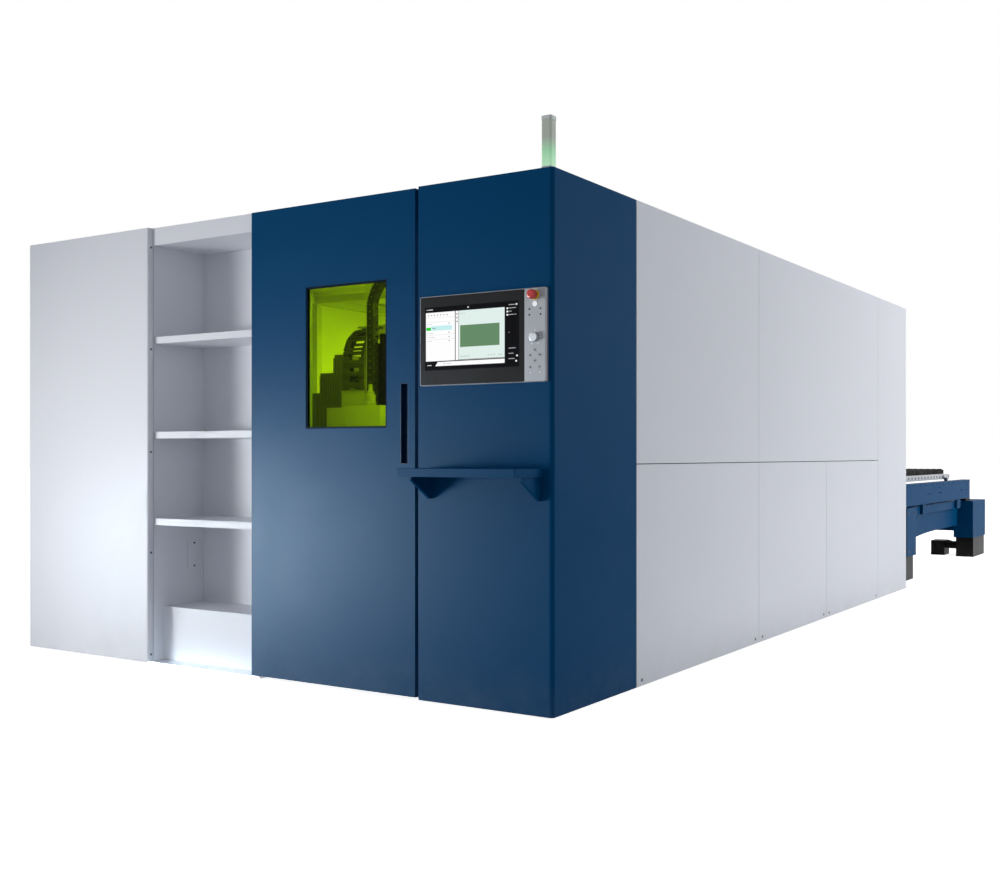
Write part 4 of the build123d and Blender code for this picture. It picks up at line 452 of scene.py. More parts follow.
def finishes():
    """How each finish is made, by the name of its material slot."""
    scene = bpy.context.scene
    cabin, console, changer = scene.laser_cabin, scene.laser_console, scene.laser_changer
    blue, white, grey = cabin.front_blue, cabin.panel_white, cabin.frame_grey
    return {
        # The lighter blue at its edges is partly wear and partly painted highlight.
        "navy_paint": lambda n: painted(n, blue, roughness=0.46, specular=0.02, edge_wear_and_highlight=0.12,
                                        wear_and_highlight_colour=(0.10, 0.17, 0.26), dust=0.06, mottle=0.04),
        "white_paint": lambda n: painted(n, white, roughness=0.42, specular=0.01, edge_wear_and_highlight=0.1,
                                         wear_and_highlight_colour=(0.5, 0.52, 0.55), dust=0.12, mottle=0.03),
        "frame_paint": lambda n: painted(n, grey, roughness=0.5, edge_wear_and_highlight=0.3, mottle=0.08),
        "bed_paint": lambda n: painted(n, (0.5, 0.52, 0.54), roughness=0.45, edge_wear_and_highlight=0.35, mottle=0.08,
                                       dust=0.4),
        "bare_steel": lambda n: bare_metal(n, (0.55, 0.56, 0.57), 0.28, lines=(500.0, 8.0, 500.0)),
        "slat_steel": lambda n: bare_metal(n, (0.16, 0.155, 0.15), 0.45, lines=(5.0, 300.0, 300.0), tone=0.35,
                                           soot=changer.slat_soot),
        "pallet_paint": lambda n: painted(n, (0.52, 0.54, 0.57), roughness=0.38, specular=0.5, metallic=0.3,
                                          edge_wear_and_highlight=0.4, grain=120.0, mottle=0.25, dust=0.1),
        "black_paint": lambda n: painted(n, (0.003, 0.003, 0.003), roughness=0.4, specular=0.06, edge_wear_and_highlight=0.15,
                                         wear_and_highlight_colour=(0.1, 0.1, 0.11), dust=0.1),
        "dark_cover": lambda n: moulded(n, (0.15, 0.16, 0.14), roughness=0.6, grain=500.0, mottle=0.15),
        "chain_plastic": lambda n: moulded(n, (0.08, 0.083, 0.08), roughness=0.42, grain=900.0, mottle=0.1),
        "laser_glass": lambda n: clear_pane(n, (0.47, 0.78, 0.002)),
        "seal_rubber": lambda n: moulded(n, (0.002, 0.010, 0.024), roughness=0.7, specular=0.02, grain=1200.0,
                                         mottle=0.1, dust=0.0),
        # Darker copy of the front blue: painted shade inside the grip recess.
        "grip_plastic": lambda n: moulded(n, (0.001, 0.018, 0.055), roughness=0.5, specular=0.1, grain=1500.0,
                                          dust=0.0),
        "screen_glass": lambda n: moulded(n, (0.024, 0.024, 0.025), roughness=0.3, specular=0.05,
                                          grain=2500.0, height=0.00001, dust=0.0),
        "panel_grey": lambda n: painted(n, (0.30, 0.31, 0.33), roughness=0.35, edge_wear_and_highlight=0.3, dust=0.0),
        "strip_silver": lambda n: painted(n, (0.46, 0.47, 0.49), roughness=0.42, specular=0.1, metallic=0.05,
                                          edge_wear_and_highlight=0.2, mottle=0.04, dust=0.0),
        "estop_red": lambda n: moulded(n, (0.58, 0.02, 0.014), roughness=0.28, height=0.00001, dust=0.0),
        "collar_yellow": lambda n: moulded(n, (0.85, 0.55, 0.02), roughness=0.35, dust=0.0),
        "button_white": lambda n: lit(n, (0.86, 0.9, 0.92), 0.9),
        "knob_grey": lambda n: painted(n, (0.50, 0.51, 0.53), roughness=0.32, specular=0.4, metallic=0.4,
                                       edge_wear_and_highlight=0.1, grain=1200.0, dust=0.0),
        "light_grey": lambda n: moulded(n, (0.66, 0.70, 0.66), roughness=0.4, dust=0.0),
        "signal_lens": signal_lens,
        "pane_steel": lambda n: bare_metal(n, (0.62, 0.63, 0.65), 0.32, lines=(5.0, 400.0, 400.0)),
        "nozzle_copper": lambda n: bare_metal(n, (0.72, 0.36, 0.2), 0.22, lines=(400.0, 400.0, 40.0)),
        "fastener_dark": lambda n: bare_metal(n, (0.09, 0.09, 0.10), 0.4, lines=(400.0, 400.0, 400.0)),
        "hose_rubber": lambda n: moulded(n, (0.015, 0.015, 0.016), roughness=0.5, grain=1800.0),
        "hose_grey": lambda n: moulded(n, (0.06, 0.062, 0.065), roughness=0.45, grain=1800.0),
        "hose_blue": lambda n: moulded(n, (0.008, 0.03, 0.1), roughness=0.4, grain=1800.0),
        "bolt_steel": lambda n: bare_metal(n, (0.5, 0.5, 0.52), 0.3, lines=(600.0, 600.0, 600.0)),
        "lamp_glow": lambda n: lit(n, (1.0, 1.0, 0.96), 3.0),
        "screen_black": lambda n: lit(n, (0.001, 0.001, 0.001)),
        "screen_white": lambda n: lit(n, console.screen_white),
        "screen_pale": lambda n: lit(n, (0.74, 0.86, 0.82)),
        "screen_sheet": lambda n: lit(n, console.sheet_green),
        "screen_go": lambda n: lit(n, (0.01, 0.62, 0.03)), "screen_row": lambda n: lit(n, (0.55, 0.86, 0.86)),
        "screen_mark": lambda n: lit(n, (0.14, 0.15, 0.16)),
        "screen_rule": lambda n: lit(n, (0.55, 0.56, 0.57)),
        "print_white": lambda n: moulded(n, (0.82, 0.83, 0.84), roughness=0.4, dust=0.0),
        "print_dark": lambda n: moulded(n, (0.008, 0.008, 0.01), roughness=0.4, specular=0.1, dust=0.0),
    }


def finish(name):
    """The material of that finish, made on its first use. The frame's own materials keep the slot names."""
    label = name.replace("_", " ").title()
    return bpy.data.materials.get(label) or finishes()[name](label)


# Meshes

CREASE = math.radians(40.0)
PANEL_SCREW = (0.006, 0.003)


class Piece:
    """Mesh of one piece, built in the frame's own place. Each finish is one material."""

    def __init__(self, *finish_names):
        self.mesh = bmesh.new()
        self.names = finish_names

    def dress(self, faces, coat):
        """Gives faces a finish and smooth shading."""
        for face in faces:
            face.material_index = coat
            face.smooth = True

    def block(self, first, second, coat=0, edge=0.0, place=None):
        """Adds a box between two corners, with rounded edges, and moves it by a place matrix."""
        before, corners = set(self.mesh.faces), set(self.mesh.verts)
        low, high = Vector(map(min, first, second)), Vector(map(max, first, second))
        made = bmesh.ops.create_cube(self.mesh, size=1.0,
                                     matrix=Matrix.LocRotScale((low + high) / 2, None, high - low))
        if edge:
            edges = list({e for v in made["verts"] for e in v.link_edges})
            bmesh.ops.bevel(self.mesh, geom=edges, offset=edge, segments=2, profile=0.5, affect="EDGES",
                            clamp_overlap=True)
        if place:
            bmesh.ops.transform(self.mesh, matrix=place,
                                verts=[v for v in self.mesh.verts if v not in corners])
        self.dress([face for face in self.mesh.faces if face not in before], coat)

    def skin(self, rings, coat):
        """Joins rings of corners with faces, and closes both ends."""
        count = len(rings[0])
        faces = []
        for near, far in zip(rings, rings[1:]):
            for i in range(count):
                faces.append(self.mesh.faces.new((near[i], near[(i + 1) % count], far[(i + 1) % count],
                                                  far[i])))
        faces += [self.mesh.faces.new(rings[0][::-1]), self.mesh.faces.new(rings[-1])]
        self.dress(faces, coat)

    def turned(self, start, axis, profile, coat=0, sides=28):
        """Adds a turned shape about an axis, from pairs of distance and radius in metres."""
        axis = Vector(axis).normalized()
        side = axis.orthogonal().normalized()
        up = axis.cross(side)
        angles = [math.tau * i / sides for i in range(sides)]
        spokes = [side * math.cos(a) + up * math.sin(a) for a in angles]
        rings = [[self.mesh.verts.new(Vector(start) + axis * along + spoke * radius) for spoke in spokes]
                 for along, radius in profile]
        self.skin(rings, coat)

    def prism(self, outline, depth, coat=0):
        """Adds a flat shape with straight sides from its corners and its thickness as a vector."""
        ends = (Vector(), Vector(depth))
        rings = [[self.mesh.verts.new(Vector(point) + shift) for point in outline] for shift in ends]
        self.skin(rings, coat)

    def pipe(self, points, radius, coat=0, sides=12):
        """Adds a round hose that follows points."""
        points = [Vector(p) for p in points]
        rings, side = [], None
        for i, point in enumerate(points):
            ahead = (points[min(i + 1, len(points) - 1)] - points[max(i - 1, 0)]).normalized()
            side = ahead.orthogonal() if side is None else side - ahead * side.dot(ahead)
            side.normalize()
            up = ahead.cross(side)
            rings.append([self.mesh.verts.new(point + (side * math.cos(math.tau * k / sides)
                                                       + up * math.sin(math.tau * k / sides)) * radius)
                          for k in range(sides)])
        self.skin(rings, coat)

    def bolt(self, point, axis, radius, height, coat=0):
        """Adds a hexagon bolt head on its washer."""
        axis, wide = Vector(axis), radius * 1.5
        self.turned(point, axis, ((0, wide), (height * 0.25, wide), (height * 0.3, radius * 1.4)), coat,
                    sides=20)
        head = Vector(point) + axis * height * 0.3
        self.turned(head, axis, ((0, radius), (height * 0.6, radius), (height * 0.7, radius * 0.86)), coat,
                    sides=6)

    def screw(self, point, axis, radius, height, coat=0):
        """Adds a round screw head with a socket."""
        self.turned(point, axis, ((0, radius), (height * 0.6, radius), (height, radius * 0.8),
                                  (height, radius * 0.45), (height * 0.4, radius * 0.4)), coat, sides=18)

    def place(self, name, body, slot):
        """Makes the object with the piece's finishes, and lets it ride on a body. The slot argument is not
        used.
        """
        bmesh.ops.recalc_face_normals(self.mesh, faces=self.mesh.faces)
        mesh = bpy.data.meshes.new(name)
        self.mesh.to_mesh(mesh)
        self.mesh.free()
        mesh.set_sharp_from_angle(angle=CREASE)
        for finish_name in self.names:
            mesh.materials.append(finish(finish_name))
        piece = bpy.data.objects.new(name, mesh)
        bpy.context.scene.collection.objects.link(piece)
        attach(piece, body)


def add_link(chain, place, pitch, width, height, bar):
    """Adds one link of an energy chain: two side plates with a pin each, and a bar above and below."""
    reach = pitch * 0.56
    for side in (-1, 1):
        face = side * width / 2
        chain.block((-reach, face, -height / 2), (reach, face - side * 0.005, height / 2), 0, edge=0.003,
                    place=place)
        chain.block((-0.0025, face + side * 0.001, -0.0025), (0.0025, face - side * 0.001, 0.0025), 1,
                    edge=0.0008, place=place)
    for low in (-height / 2 + 0.001, height / 2 - 0.006):
        chain.block((-bar / 2, -width / 2 + 0.004, low), (bar / 2, width / 2 - 0.004, low + 0.005), 0,
                    edge=0.0015, place=place)


def beside_the_plates(count):
    """Shares of a chain's width for hoses that lie beside its two side plates and leave the middle open."""
    return [0.14 + 0.1 * (i // 2) if i % 2 == 0 else 0.86 - 0.1 * (i // 2) for i in range(count)]


def arc_points(centre, radius, start, end, steps):
    """Points of an arc as (run, rise) pairs, from angle start to end in degrees."""
    angles = [math.radians(start + (end - start) * i / steps) for i in range(steps + 1)]
    return [(centre[0] + radius * math.cos(a), centre[1] + radius * math.sin(a)) for a in angles]


# Lamps

SOFT_WHITE = (1.0, 1.0, 1.0)
LAMP_WHITE = (1.0, 1.0, 0.96)


def add_lamp(name, location, target, size, power, tint):
    """Adds an area lamp of a width and height that shines at a target."""
    data = bpy.data.lights.new(name, "AREA")
    data.shape, data.size, data.size_y = "RECTANGLE", size[0], size[1]
    data.energy, data.color = power, tint
    lamp = bpy.data.objects.new(name, data)
    lamp.location = location
    lamp.rotation_euler = (Vector(target) - Vector(location)).to_track_quat("-Z", "Y").to_euler()
    bpy.context.scene.collection.objects.link(lamp)
    return lamp


def seen_directly(tree):
    """One for rays of the camera, of reflections and of clear panes, and zero for light that spreads."""
    path = add_node(tree, "ShaderNodeLightPath")
    shown = number(tree, "MAXIMUM", path.outputs["Is Camera Ray"], path.outputs["Is Glossy Ray"])
    return number(tree, "MAXIMUM", shown, path.outputs["Is Transmission Ray"])


# Operators

class LASER_OT_finish_frame(bpy.types.Operator):
    """Give every carried-over part of the frame the finish of its material slot"""
    bl_idname = "laser.finish_frame"
    bl_label = "Finish Frame"

    def execute(self, context):
        for part in frame["record"]["subparts"]:
            mesh = frame["nodes"][part["node"]].data
            mesh.materials.clear()
            mesh.materials.append(finish(part["material_slot"]))
        return {"FINISHED"}


class LASER_OT_add_screen(bpy.types.Operator):
    """Add the lit picture of the operator screen: job list, sheet view, status column and message bar"""
    bl_idname = "laser.add_screen"
    bl_label = "Add Screen Picture"

    # Edges of the picture in millimetres. Its tiles and dashes are shares of the width and the height
    LEFT, RIGHT, LOW, HIGH = 614, 144, 1409, 1675

    def execute(self, context):
        depth = context.scene.laser_console.mark_depth
        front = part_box("operator_screen")[0].y
        names = ("screen_black", "screen_white", "screen_pale", "screen_sheet", "screen_go", "screen_row",
                 "screen_mark", "screen_rule")
        black, white, pale, sheet, go, row, mark, rule = range(len(names))
        picture = Piece(*names)

        def corner(across, down, layer):
            point = at(self.LEFT + (self.RIGHT - self.LEFT) * across, 0,
                       self.HIGH + (self.LOW - self.HIGH) * down)
            return Vector((point.x, front - depth * layer, point.z))

        def tile(left, right, top, bottom, layer, coat, slant=0.0):
            outline = [corner(left + slant, top, layer - 1), corner(right, top, layer - 1),
                       corner(right, bottom, layer - 1), corner(left, bottom, layer - 1)]
            picture.prism(outline, (0, -depth, 0), coat)

        def dashes(left, top, widths, coat, layer=3, height=0.009, space=0.008):
            for width in widths:
                tile(left, left + width, top, top + height, layer, coat)
                left += width + space

        tile(0, 1, 0, 1, 1, black)
        tile(0.012, 0.330, 0.085, 0.855, 2, white)
        tile(0.338, 0.368, 0.085, 0.855, 2, white)
        tile(0.372, 0.852, 0.085, 0.845, 2, pale)
        tile(0.372, 0.852, 0.850, 0.857, 2, rule)
        tile(0.115, 0.852, 0.870, 0.935, 2, white, slant=0.028)
        tile(0.386, 0.800, 0.315, 0.655, 3, sheet)
        tile(0.016, 0.068, 0.318, 0.368, 3, go)
        tile(0.070, 0.300, 0.300, 0.372, 3, row)
        for top in (0.165, 0.235, 0.44, 0.51):
            tile(0.016, 0.325, top, top + 0.003, 3, rule)
        for i in range(7):
            tile(0.035 + 0.034 * i, 0.045 + 0.034 * i, 0.122, 0.138, 3, mark)
        for top, widths in ((0.265, (0.02, 0.03)), (0.408, (0.012, 0.012, 0.03)),
                            (0.472, (0.012, 0.012, 0.045)), (0.535, (0.012, 0.03))):
            dashes(0.022, top, widths, rule)
            tile(0.262, 0.272, top - 0.004, top + 0.012, 3, mark)
        dashes(0.085, 0.330, (0.035,), mark, layer=4)
        for top in (0.12, 0.18, 0.24):
            tile(0.347, 0.359, top, top + 0.024, 3, mark)
        dashes(0.386, 0.125, (0.03, 0.014), rule)
        dashes(0.395, 0.795, (0.014, 0.014, 0.014, 0.014), mark, space=0.012)
        dashes(0.680, 0.795, (0.01, 0.01, 0.01), mark, space=0.02)
        dashes(0.790, 0.795, (0.012, 0.012), mark, space=0.014)
        dashes(0.20, 0.898, (0.03, 0.05), rule)
        dashes(0.02, 0.035, (0.012, 0.05), white, layer=2)
        dashes(0.03, 0.915, (0.045,), white, layer=2)
        tile(0.465, 0.477, 0.03, 0.05, 2, white)
        for top, left in ((0.04, 0.965), (0.095, 0.872), (0.145, 0.872), (0.195, 0.872), (0.82, 0.97),
                          (0.9, 0.962)):
            tile(left, left + 0.016, top, top + 0.024, 2, white)
        for top, widths in ((0.05, (0.06,)), (0.1, (0.075,)), (0.15, (0.03,)), (0.2, (0.05, 0.02)),
                            (0.71, (0.07,)), (0.79, (0.05,)), (0.87, (0.06,)), (0.47, (0.008,))):
            dashes(0.893, top, widths, rule, layer=2)
        picture.place("screen_picture", "machine", "screen_glass")
        return {"FINISHED"}


class LASER_OT_add_controls(bpy.types.Operator):
    """Add the printed marks of the key strip, the arrows on its keys, and the grips of button and knob"""
    bl_idname = "laser.add_controls"
    bl_label = "Add Controls"

    # Places and sizes on the key strip in millimetres, and angles in degrees
    LINE, KNOB_HEIGHT = 70, 1523
    SCALE_START, SCALE_SPAN, LONG_MARK_EVERY = -150, 300, 5
    SCALE_INSIDE, LONG_MARK, SHORT_MARK = 24, (1.8, 32), (1.3, 30)
    ARROWS = ((70, 1473, 90), (92, 1452, 180), (48, 1452, 0), (70, 1429, 270), (92, 1404, 180), (48, 1404, 0))
    ARROW_REACH, ARROW_CORNERS = 5.2, (0, 128, 232)
    RING_INSIDE, RING_OUTSIDE, RING_SIDES = 8.2, 8.8, 40

    # Grips of the emergency stop and ribs of the knob, in metres and radians
    GRIP_COUNT, GRIP_TURN, GRIP_STEP = 3, 0.5, 0.09
    GRIP_INSIDE, GRIP_OUTSIDE, GRIP_HALF = 0.0082, 0.0108, 0.0004
    RIB_COUNT, RIB_START = 36, 0.0035
    RIB = ((0, 0.0004), (0.0008, 0.0009), (0.0125, 0.0009))

    def execute(self, context):
        self.print_marks(context.scene.laser_console)
        self.add_stop_grips()
        self.add_knob_ribs()
        return {"FINISHED"}

    def print_marks(self, settings):
        """Prints the knob's scale, the keys' arrows and rings, and the outlines of the small signs."""
        depth = settings.mark_depth
        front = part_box("operator_screen")[0].y
        key_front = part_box("keypad_strip")[0].y
        marks = Piece("print_white", "print_dark", "panel_grey")

        def flat(points, y, coat, thick=depth):
            marks.prism([Vector((at(s, 0, z).x, y, at(s, 0, z).z)) for s, z in points], (0, -thick, 0), coat)

        def tile(right, left, low, high, coat, thick=depth):
            flat(((left, low), (right, low), (right, high), (left, high)), front, coat, thick)

        def outline(s0, s1, z0, z1, coat, line=0.7):
            for a, b, c, d in ((s0, s1, z0, z0 + line), (s0, s1, z1 - line, z1),
                               (s0, s0 + line, z0 + line, z1 - line), (s1 - line, s1, z0 + line, z1 - line)):
                flat(((a, c), (b, c), (b, d), (a, d)), front, coat)

        knob = (self.LINE, self.KNOB_HEIGHT)
        for i in range(settings.scale_marks):
            angle = math.radians(self.SCALE_START + self.SCALE_SPAN * i / (settings.scale_marks - 1))
            out, side = (math.sin(angle), math.cos(angle)), (math.cos(angle), -math.sin(angle))
            half, end = self.SHORT_MARK if i % self.LONG_MARK_EVERY else self.LONG_MARK
            corners = [(knob[0] - out[0] * r - side[0] * w, knob[1] + out[1] * r + side[1] * w)
                       for r, w in ((self.SCALE_INSIDE, -half), (self.SCALE_INSIDE, half), (end, half),
                                    (end, -half))]
            flat(corners, front, 0)
        for s, z, angle in self.ARROWS:
            turns = [math.radians(angle + corner) for corner in self.ARROW_CORNERS]
            tips = [(s - self.ARROW_REACH * math.cos(a), z + self.ARROW_REACH * math.sin(a)) for a in turns]
            flat(tips, key_front, 1, 3 * depth)
        for s in (96, 44):
            for z in (1610, 1633):
                tile(s - 3.5, s + 3.5, z, z + 7, 1)
        tile(58, 82, 1619.6, 1620.4, 2)
        for s in (92, 48):
            tile(s - 2.4, s + 2.4, 1379, 1385, 0, 2 * depth)
            outline(s - 6, s + 6, 1375, 1389, 2)
        for s, z, _ in self.ARROWS:
            turns = [math.tau * i / self.RING_SIDES for i in range(self.RING_SIDES)]
            inner, outer = ([(s + r * math.cos(a), z + r * math.sin(a)) for a in turns]
                            for r in (self.RING_INSIDE, self.RING_OUTSIDE))
            for i in range(self.RING_SIDES):
                j = (i + 1) % self.RING_SIDES
                flat((inner[i], inner[j], outer[j], outer[i]), front, 2)
        marks.place("strip_markings", "machine", "strip_silver")

    def add_stop_grips(self):
        """Adds the low ridges on the face of the emergency stop."""
        low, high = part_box("estop_button")
        centre = Vector(((low.x + high.x) / 2, low.y, (low.z + high.z) / 2))
        grips = Piece("estop_red")
        for i in range(self.GRIP_COUNT):
            middle = math.tau * i / self.GRIP_COUNT + self.GRIP_TURN
            rim = [(self.GRIP_INSIDE, middle + self.GRIP_STEP * k) for k in range(-5, 6)]
            rim += [(self.GRIP_OUTSIDE, middle + self.GRIP_STEP * k) for k in range(5, -6, -1)]
            grips.prism([centre + Vector((math.cos(a) * r, self.GRIP_HALF, math.sin(a) * r)) for r, a in rim],
                        (0, -2 * self.GRIP_HALF, 0))
        grips.place("estop_grips", "estop", "estop_red")

    def add_knob_ribs(self):
        """Adds the ribs round the override knob."""
        low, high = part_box("override_knob")
        centre = Vector(((low.x + high.x) / 2, 0, (low.z + high.z) / 2))
        reach = (high.x - low.x) / 2
        ribs = Piece("knob_grey")
        for i in range(self.RIB_COUNT):
            a = math.tau * i / self.RIB_COUNT
            foot = centre + Vector((math.cos(a) * reach, low.y + self.RIB_START, math.sin(a) * reach))
            ribs.turned(foot, (0, 1, 0), self.RIB, sides=8)
        ribs.place("knob_ribs", "knob", "knob_grey")


class LASER_OT_add_door_back(bpy.types.Operator):
    """Add the stiffeners, lock rod, seals and window lining behind the door leaf"""
    bl_idname = "laser.add_door_back"
    bl_label = "Add Door Back"

    # Right, left, low and high edges of the stiffeners, in millimetres
    STIFFENERS = ((840, 890, 40, 1130), (1255, 1305, 40, 1130), (840, 890, 1860, 2170),
                  (1255, 1305, 1860, 2170), (893, 1252, 560, 610), (893, 1252, 1990, 2040))
    LEAF_BACK, SCREW_IN, SCREW_UP = 2.6, 12, 25
    ROD_LEFT, ROD_BEHIND, ROD_LOW, ROD_HIGH = 700, 24, 60, 2150
    ROD_GUIDES, GUIDE_HEIGHT = (150, 640, 1000, 1420, 1800, 2080), 18
    HINGE_SEALS = ((30, 166), (234, 1066), (1134, 1966), (2034, 2180))
    LINING_FRONT, LINING_BACK = 20.5, 44.5

    def execute(self, context):
        depth = context.scene.laser_inside.stiffener_depth / MM
        back = Piece("navy_paint", "bolt_steel", "seal_rubber", "panel_grey")
        for right, left, low, high in self.STIFFENERS:
            back.block(at(right, self.LEAF_BACK, low), at(left, depth, high), 0, edge=0.003)
            for height in (low + self.SCREW_UP, high - self.SCREW_UP):
                back.screw(at(right + self.SCREW_IN, depth, height), (0, 1, 0), *PANEL_SCREW, 1)
        back.pipe([at(self.ROD_LEFT, self.ROD_BEHIND, height) for height in (self.ROD_LOW, self.ROD_HIGH)],
                  0.006, 1)
        for height in self.ROD_GUIDES:
            back.block(at(690, 3, height), at(712, 33, height + self.GUIDE_HEIGHT), 1, edge=0.002)
        for low, high in self.HINGE_SEALS:
            back.block(at(1634, 30, low), at(1641, 44, high), 2, edge=0.002)
        back.block(at(684, 36, 30), at(690, 44, 2180), 2, edge=0.002)
        back.block(at(1304.6, self.LINING_FRONT, 1174), at(1303.6, self.LINING_BACK, 1816), 3)
        back.block(at(1303.6, self.LINING_FRONT, 1817.4), at(838, self.LINING_BACK, 1816.4), 3)
        back.place("door_back_fittings", "front_door", "navy_paint")
        return {"FINISHED"}


class LASER_OT_fill_chains(bpy.types.Operator):
    """Fill both energy chains with hoses and pins, and add a chain's stand and the beam's end cover"""
    bl_idname = "laser.fill_chains"
    bl_label = "Fill Energy Chains"

    # Beam and its end cover, in millimetres
    BEAM_TOP = 1330
    COVER_RIGHT, COVER_LEFT, COVER_LOW, COVER_HIGH = 2012, 2298, 1112, 1331
    COVER_FRONT, COVER_BACK, COVER_SIDE = 1284, 1310, 5

    # Links and hoses, in metres
    BED_PITCH, BED_LINKS, BED_INSET, BED_END = 0.075, 9, 0.030, 0.074
    BEAM_PITCH, BEAM_LINKS, BEAM_INSET, BEAM_END = 0.05, 16, 0.025, 0.046
    HOSE_END_GAP = 0.004
    STAND_LINKS, STAND_PITCH, STAND_HEIGHT, STAND_BAR = 3, 0.065, 0.050, 0.028

    def execute(self, context):
        self.fill_bed_chain(context.scene.laser_inside)
        self.add_stand()
        self.add_end_cover()
        self.fill_beam_chain(context.scene.laser_inside)
        return {"FINISHED"}

    def fill(self, name, spot, faces, route, pins, hoses, pin_radius, pin_sides):
        """Lays hoses along a route and sets pins on both faces of a chain. A spot is across, along and up."""
        near, far = faces
        chain = Piece("hose_rubber", "hose_grey", "hose_blue", "chain_plastic")
        for share, radius, coat in hoses:
            across = near + (far - near) * share
            chain.pipe([spot(across, run, height) for run, height in route], radius, coat)
        profile = ((-0.001, pin_radius), (0.0012, pin_radius), (0.002, pin_radius - 0.002))
        for across, side in ((near, -1), (far, 1)):
            for run, height in pins:
                chain.turned(spot(across, run, height), spot(side, 0, 0), profile, 3, sides=pin_sides)
        chain.place(name, "gantry", "chain_plastic")

    def fill_bed_chain(self, settings):
        """Fills the chain whose bend stands on the beam and whose runs lie along the bed."""
        low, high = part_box("bed_energy_chain")
        line = (high.z - low.z) / 2 - self.BED_INSET
        centre = (low.y + (high.z - low.z) / 2, (low.z + high.z) / 2)
        bend = arc_points(centre, line, -90, -270, 28)
        route = [(high.y - self.HOSE_END_GAP, bend[0][1]), *bend, (centre[0] + self.BED_END, bend[-1][1])]
        pins = [(centre[0] + self.BED_PITCH * k, bend[0][1]) for k in range(1, self.BED_LINKS + 1)]
        pins += arc_points(centre, line, -90, -270, 7)
        hoses = [(share, settings.hose_radius * (1.15 if i % 2 else 0.85), (0, 1, 0, 2)[i % 4])
                 for i, share in enumerate(beside_the_plates(settings.hose_count))]
        self.fill("bed_chain_hoses", lambda across, run, height: (across, run, height), (low.x, high.x),
                  route, pins, hoses, 0.013, 20)

    def fill_beam_chain(self, settings):
        """Fills the chain that lies across the machine, on the beam."""
        low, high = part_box("gantry_energy_chain")
        line = (high.z - low.z) / 2 - self.BEAM_INSET
        centre = (high.x - (high.z - low.z) / 2, (low.z + high.z) / 2)
        bend = arc_points(centre, line, -90, 90, 24)
        route = [(centre[0] - self.BEAM_END, bend[0][1]), *bend, (low.x + self.HOSE_END_GAP, bend[-1][1])]
        pins = [(centre[0] - self.BEAM_PITCH * k, bend[-1][1]) for k in range(1, self.BEAM_LINKS + 1)]
        pins += arc_points(centre, line, -90, 90, 6)
        hoses = [(share, settings.hose_radius * (0.8 if i % 2 else 0.65), (1, 0, 2, 0)[i % 4])
                 for i, share in enumerate(beside_the_plates(settings.hose_count))]
        self.fill("gantry_chain_hoses", lambda across, run, height: (run, across, height), (low.y, high.y),
                  route, pins, hoses, 0.010, 18)

    def add_stand(self):
        """Adds the block on the beam and the upright links in front of the bed chain's bend."""
        low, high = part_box("bed_energy_chain")
        width, height, pitch = high.x - low.x, self.STAND_HEIGHT, self.STAND_PITCH
        beam_top = at(0, 0, self.BEAM_TOP).z
        stand = Piece("chain_plastic", "bolt_steel", "bed_paint")
        stand.block((low.x - 0.016, low.y + 0.004, beam_top), (high.x - 0.002, low.y + 0.17, low.z - 0.002),
                    2, edge=0.004)
        for i in range(self.STAND_LINKS):
            middle = ((low.x + high.x) / 2, low.y + height / 2 - 0.004, low.z + pitch * (i + 0.5))
            upright = Matrix(((0, 1, 0, middle[0]), (0, 0, 1, middle[1]), (1, 0, 0, middle[2]), (0, 0, 0, 1)))
            add_link(stand, upright, pitch, width, height, self.STAND_BAR)
            for side in (-1, 1):
                edge = middle[0] + side * width / 2
                stand.block((edge - side * 0.004, low.y + 0.002, middle[2] - pitch / 2),
                            (edge - side * 0.045, low.y + 0.008, middle[2] + pitch / 2), 0, edge=0.001)
        stand.place("bed_chain_stand", "gantry", "chain_plastic")

    def add_end_cover(self):
        """Adds the sheet cover with folded sides on the end of the beam."""
        front, low, high = self.COVER_FRONT, self.COVER_LOW, self.COVER_HIGH
        cover = Piece("bed_paint", "bolt_steel")
        cover.block(at(self.COVER_LEFT, front, low), at(self.COVER_RIGHT, front + 3, high), 0, edge=0.001)
        for left in (self.COVER_LEFT, self.COVER_RIGHT + self.COVER_SIDE):
            cover.block(at(left, front + 2, low), at(left - self.COVER_SIDE, self.COVER_BACK, high), 0,
                        edge=0.001)
        for left in (self.COVER_LEFT - 18, self.COVER_RIGHT + 18):
            for height in (low + 18, high - 18):
                cover.screw(at(left, front, height), (0, -1, 0), 0.004, 0.002, 1)
        cover.place("gantry_end_cover", "gantry", "bed_paint")


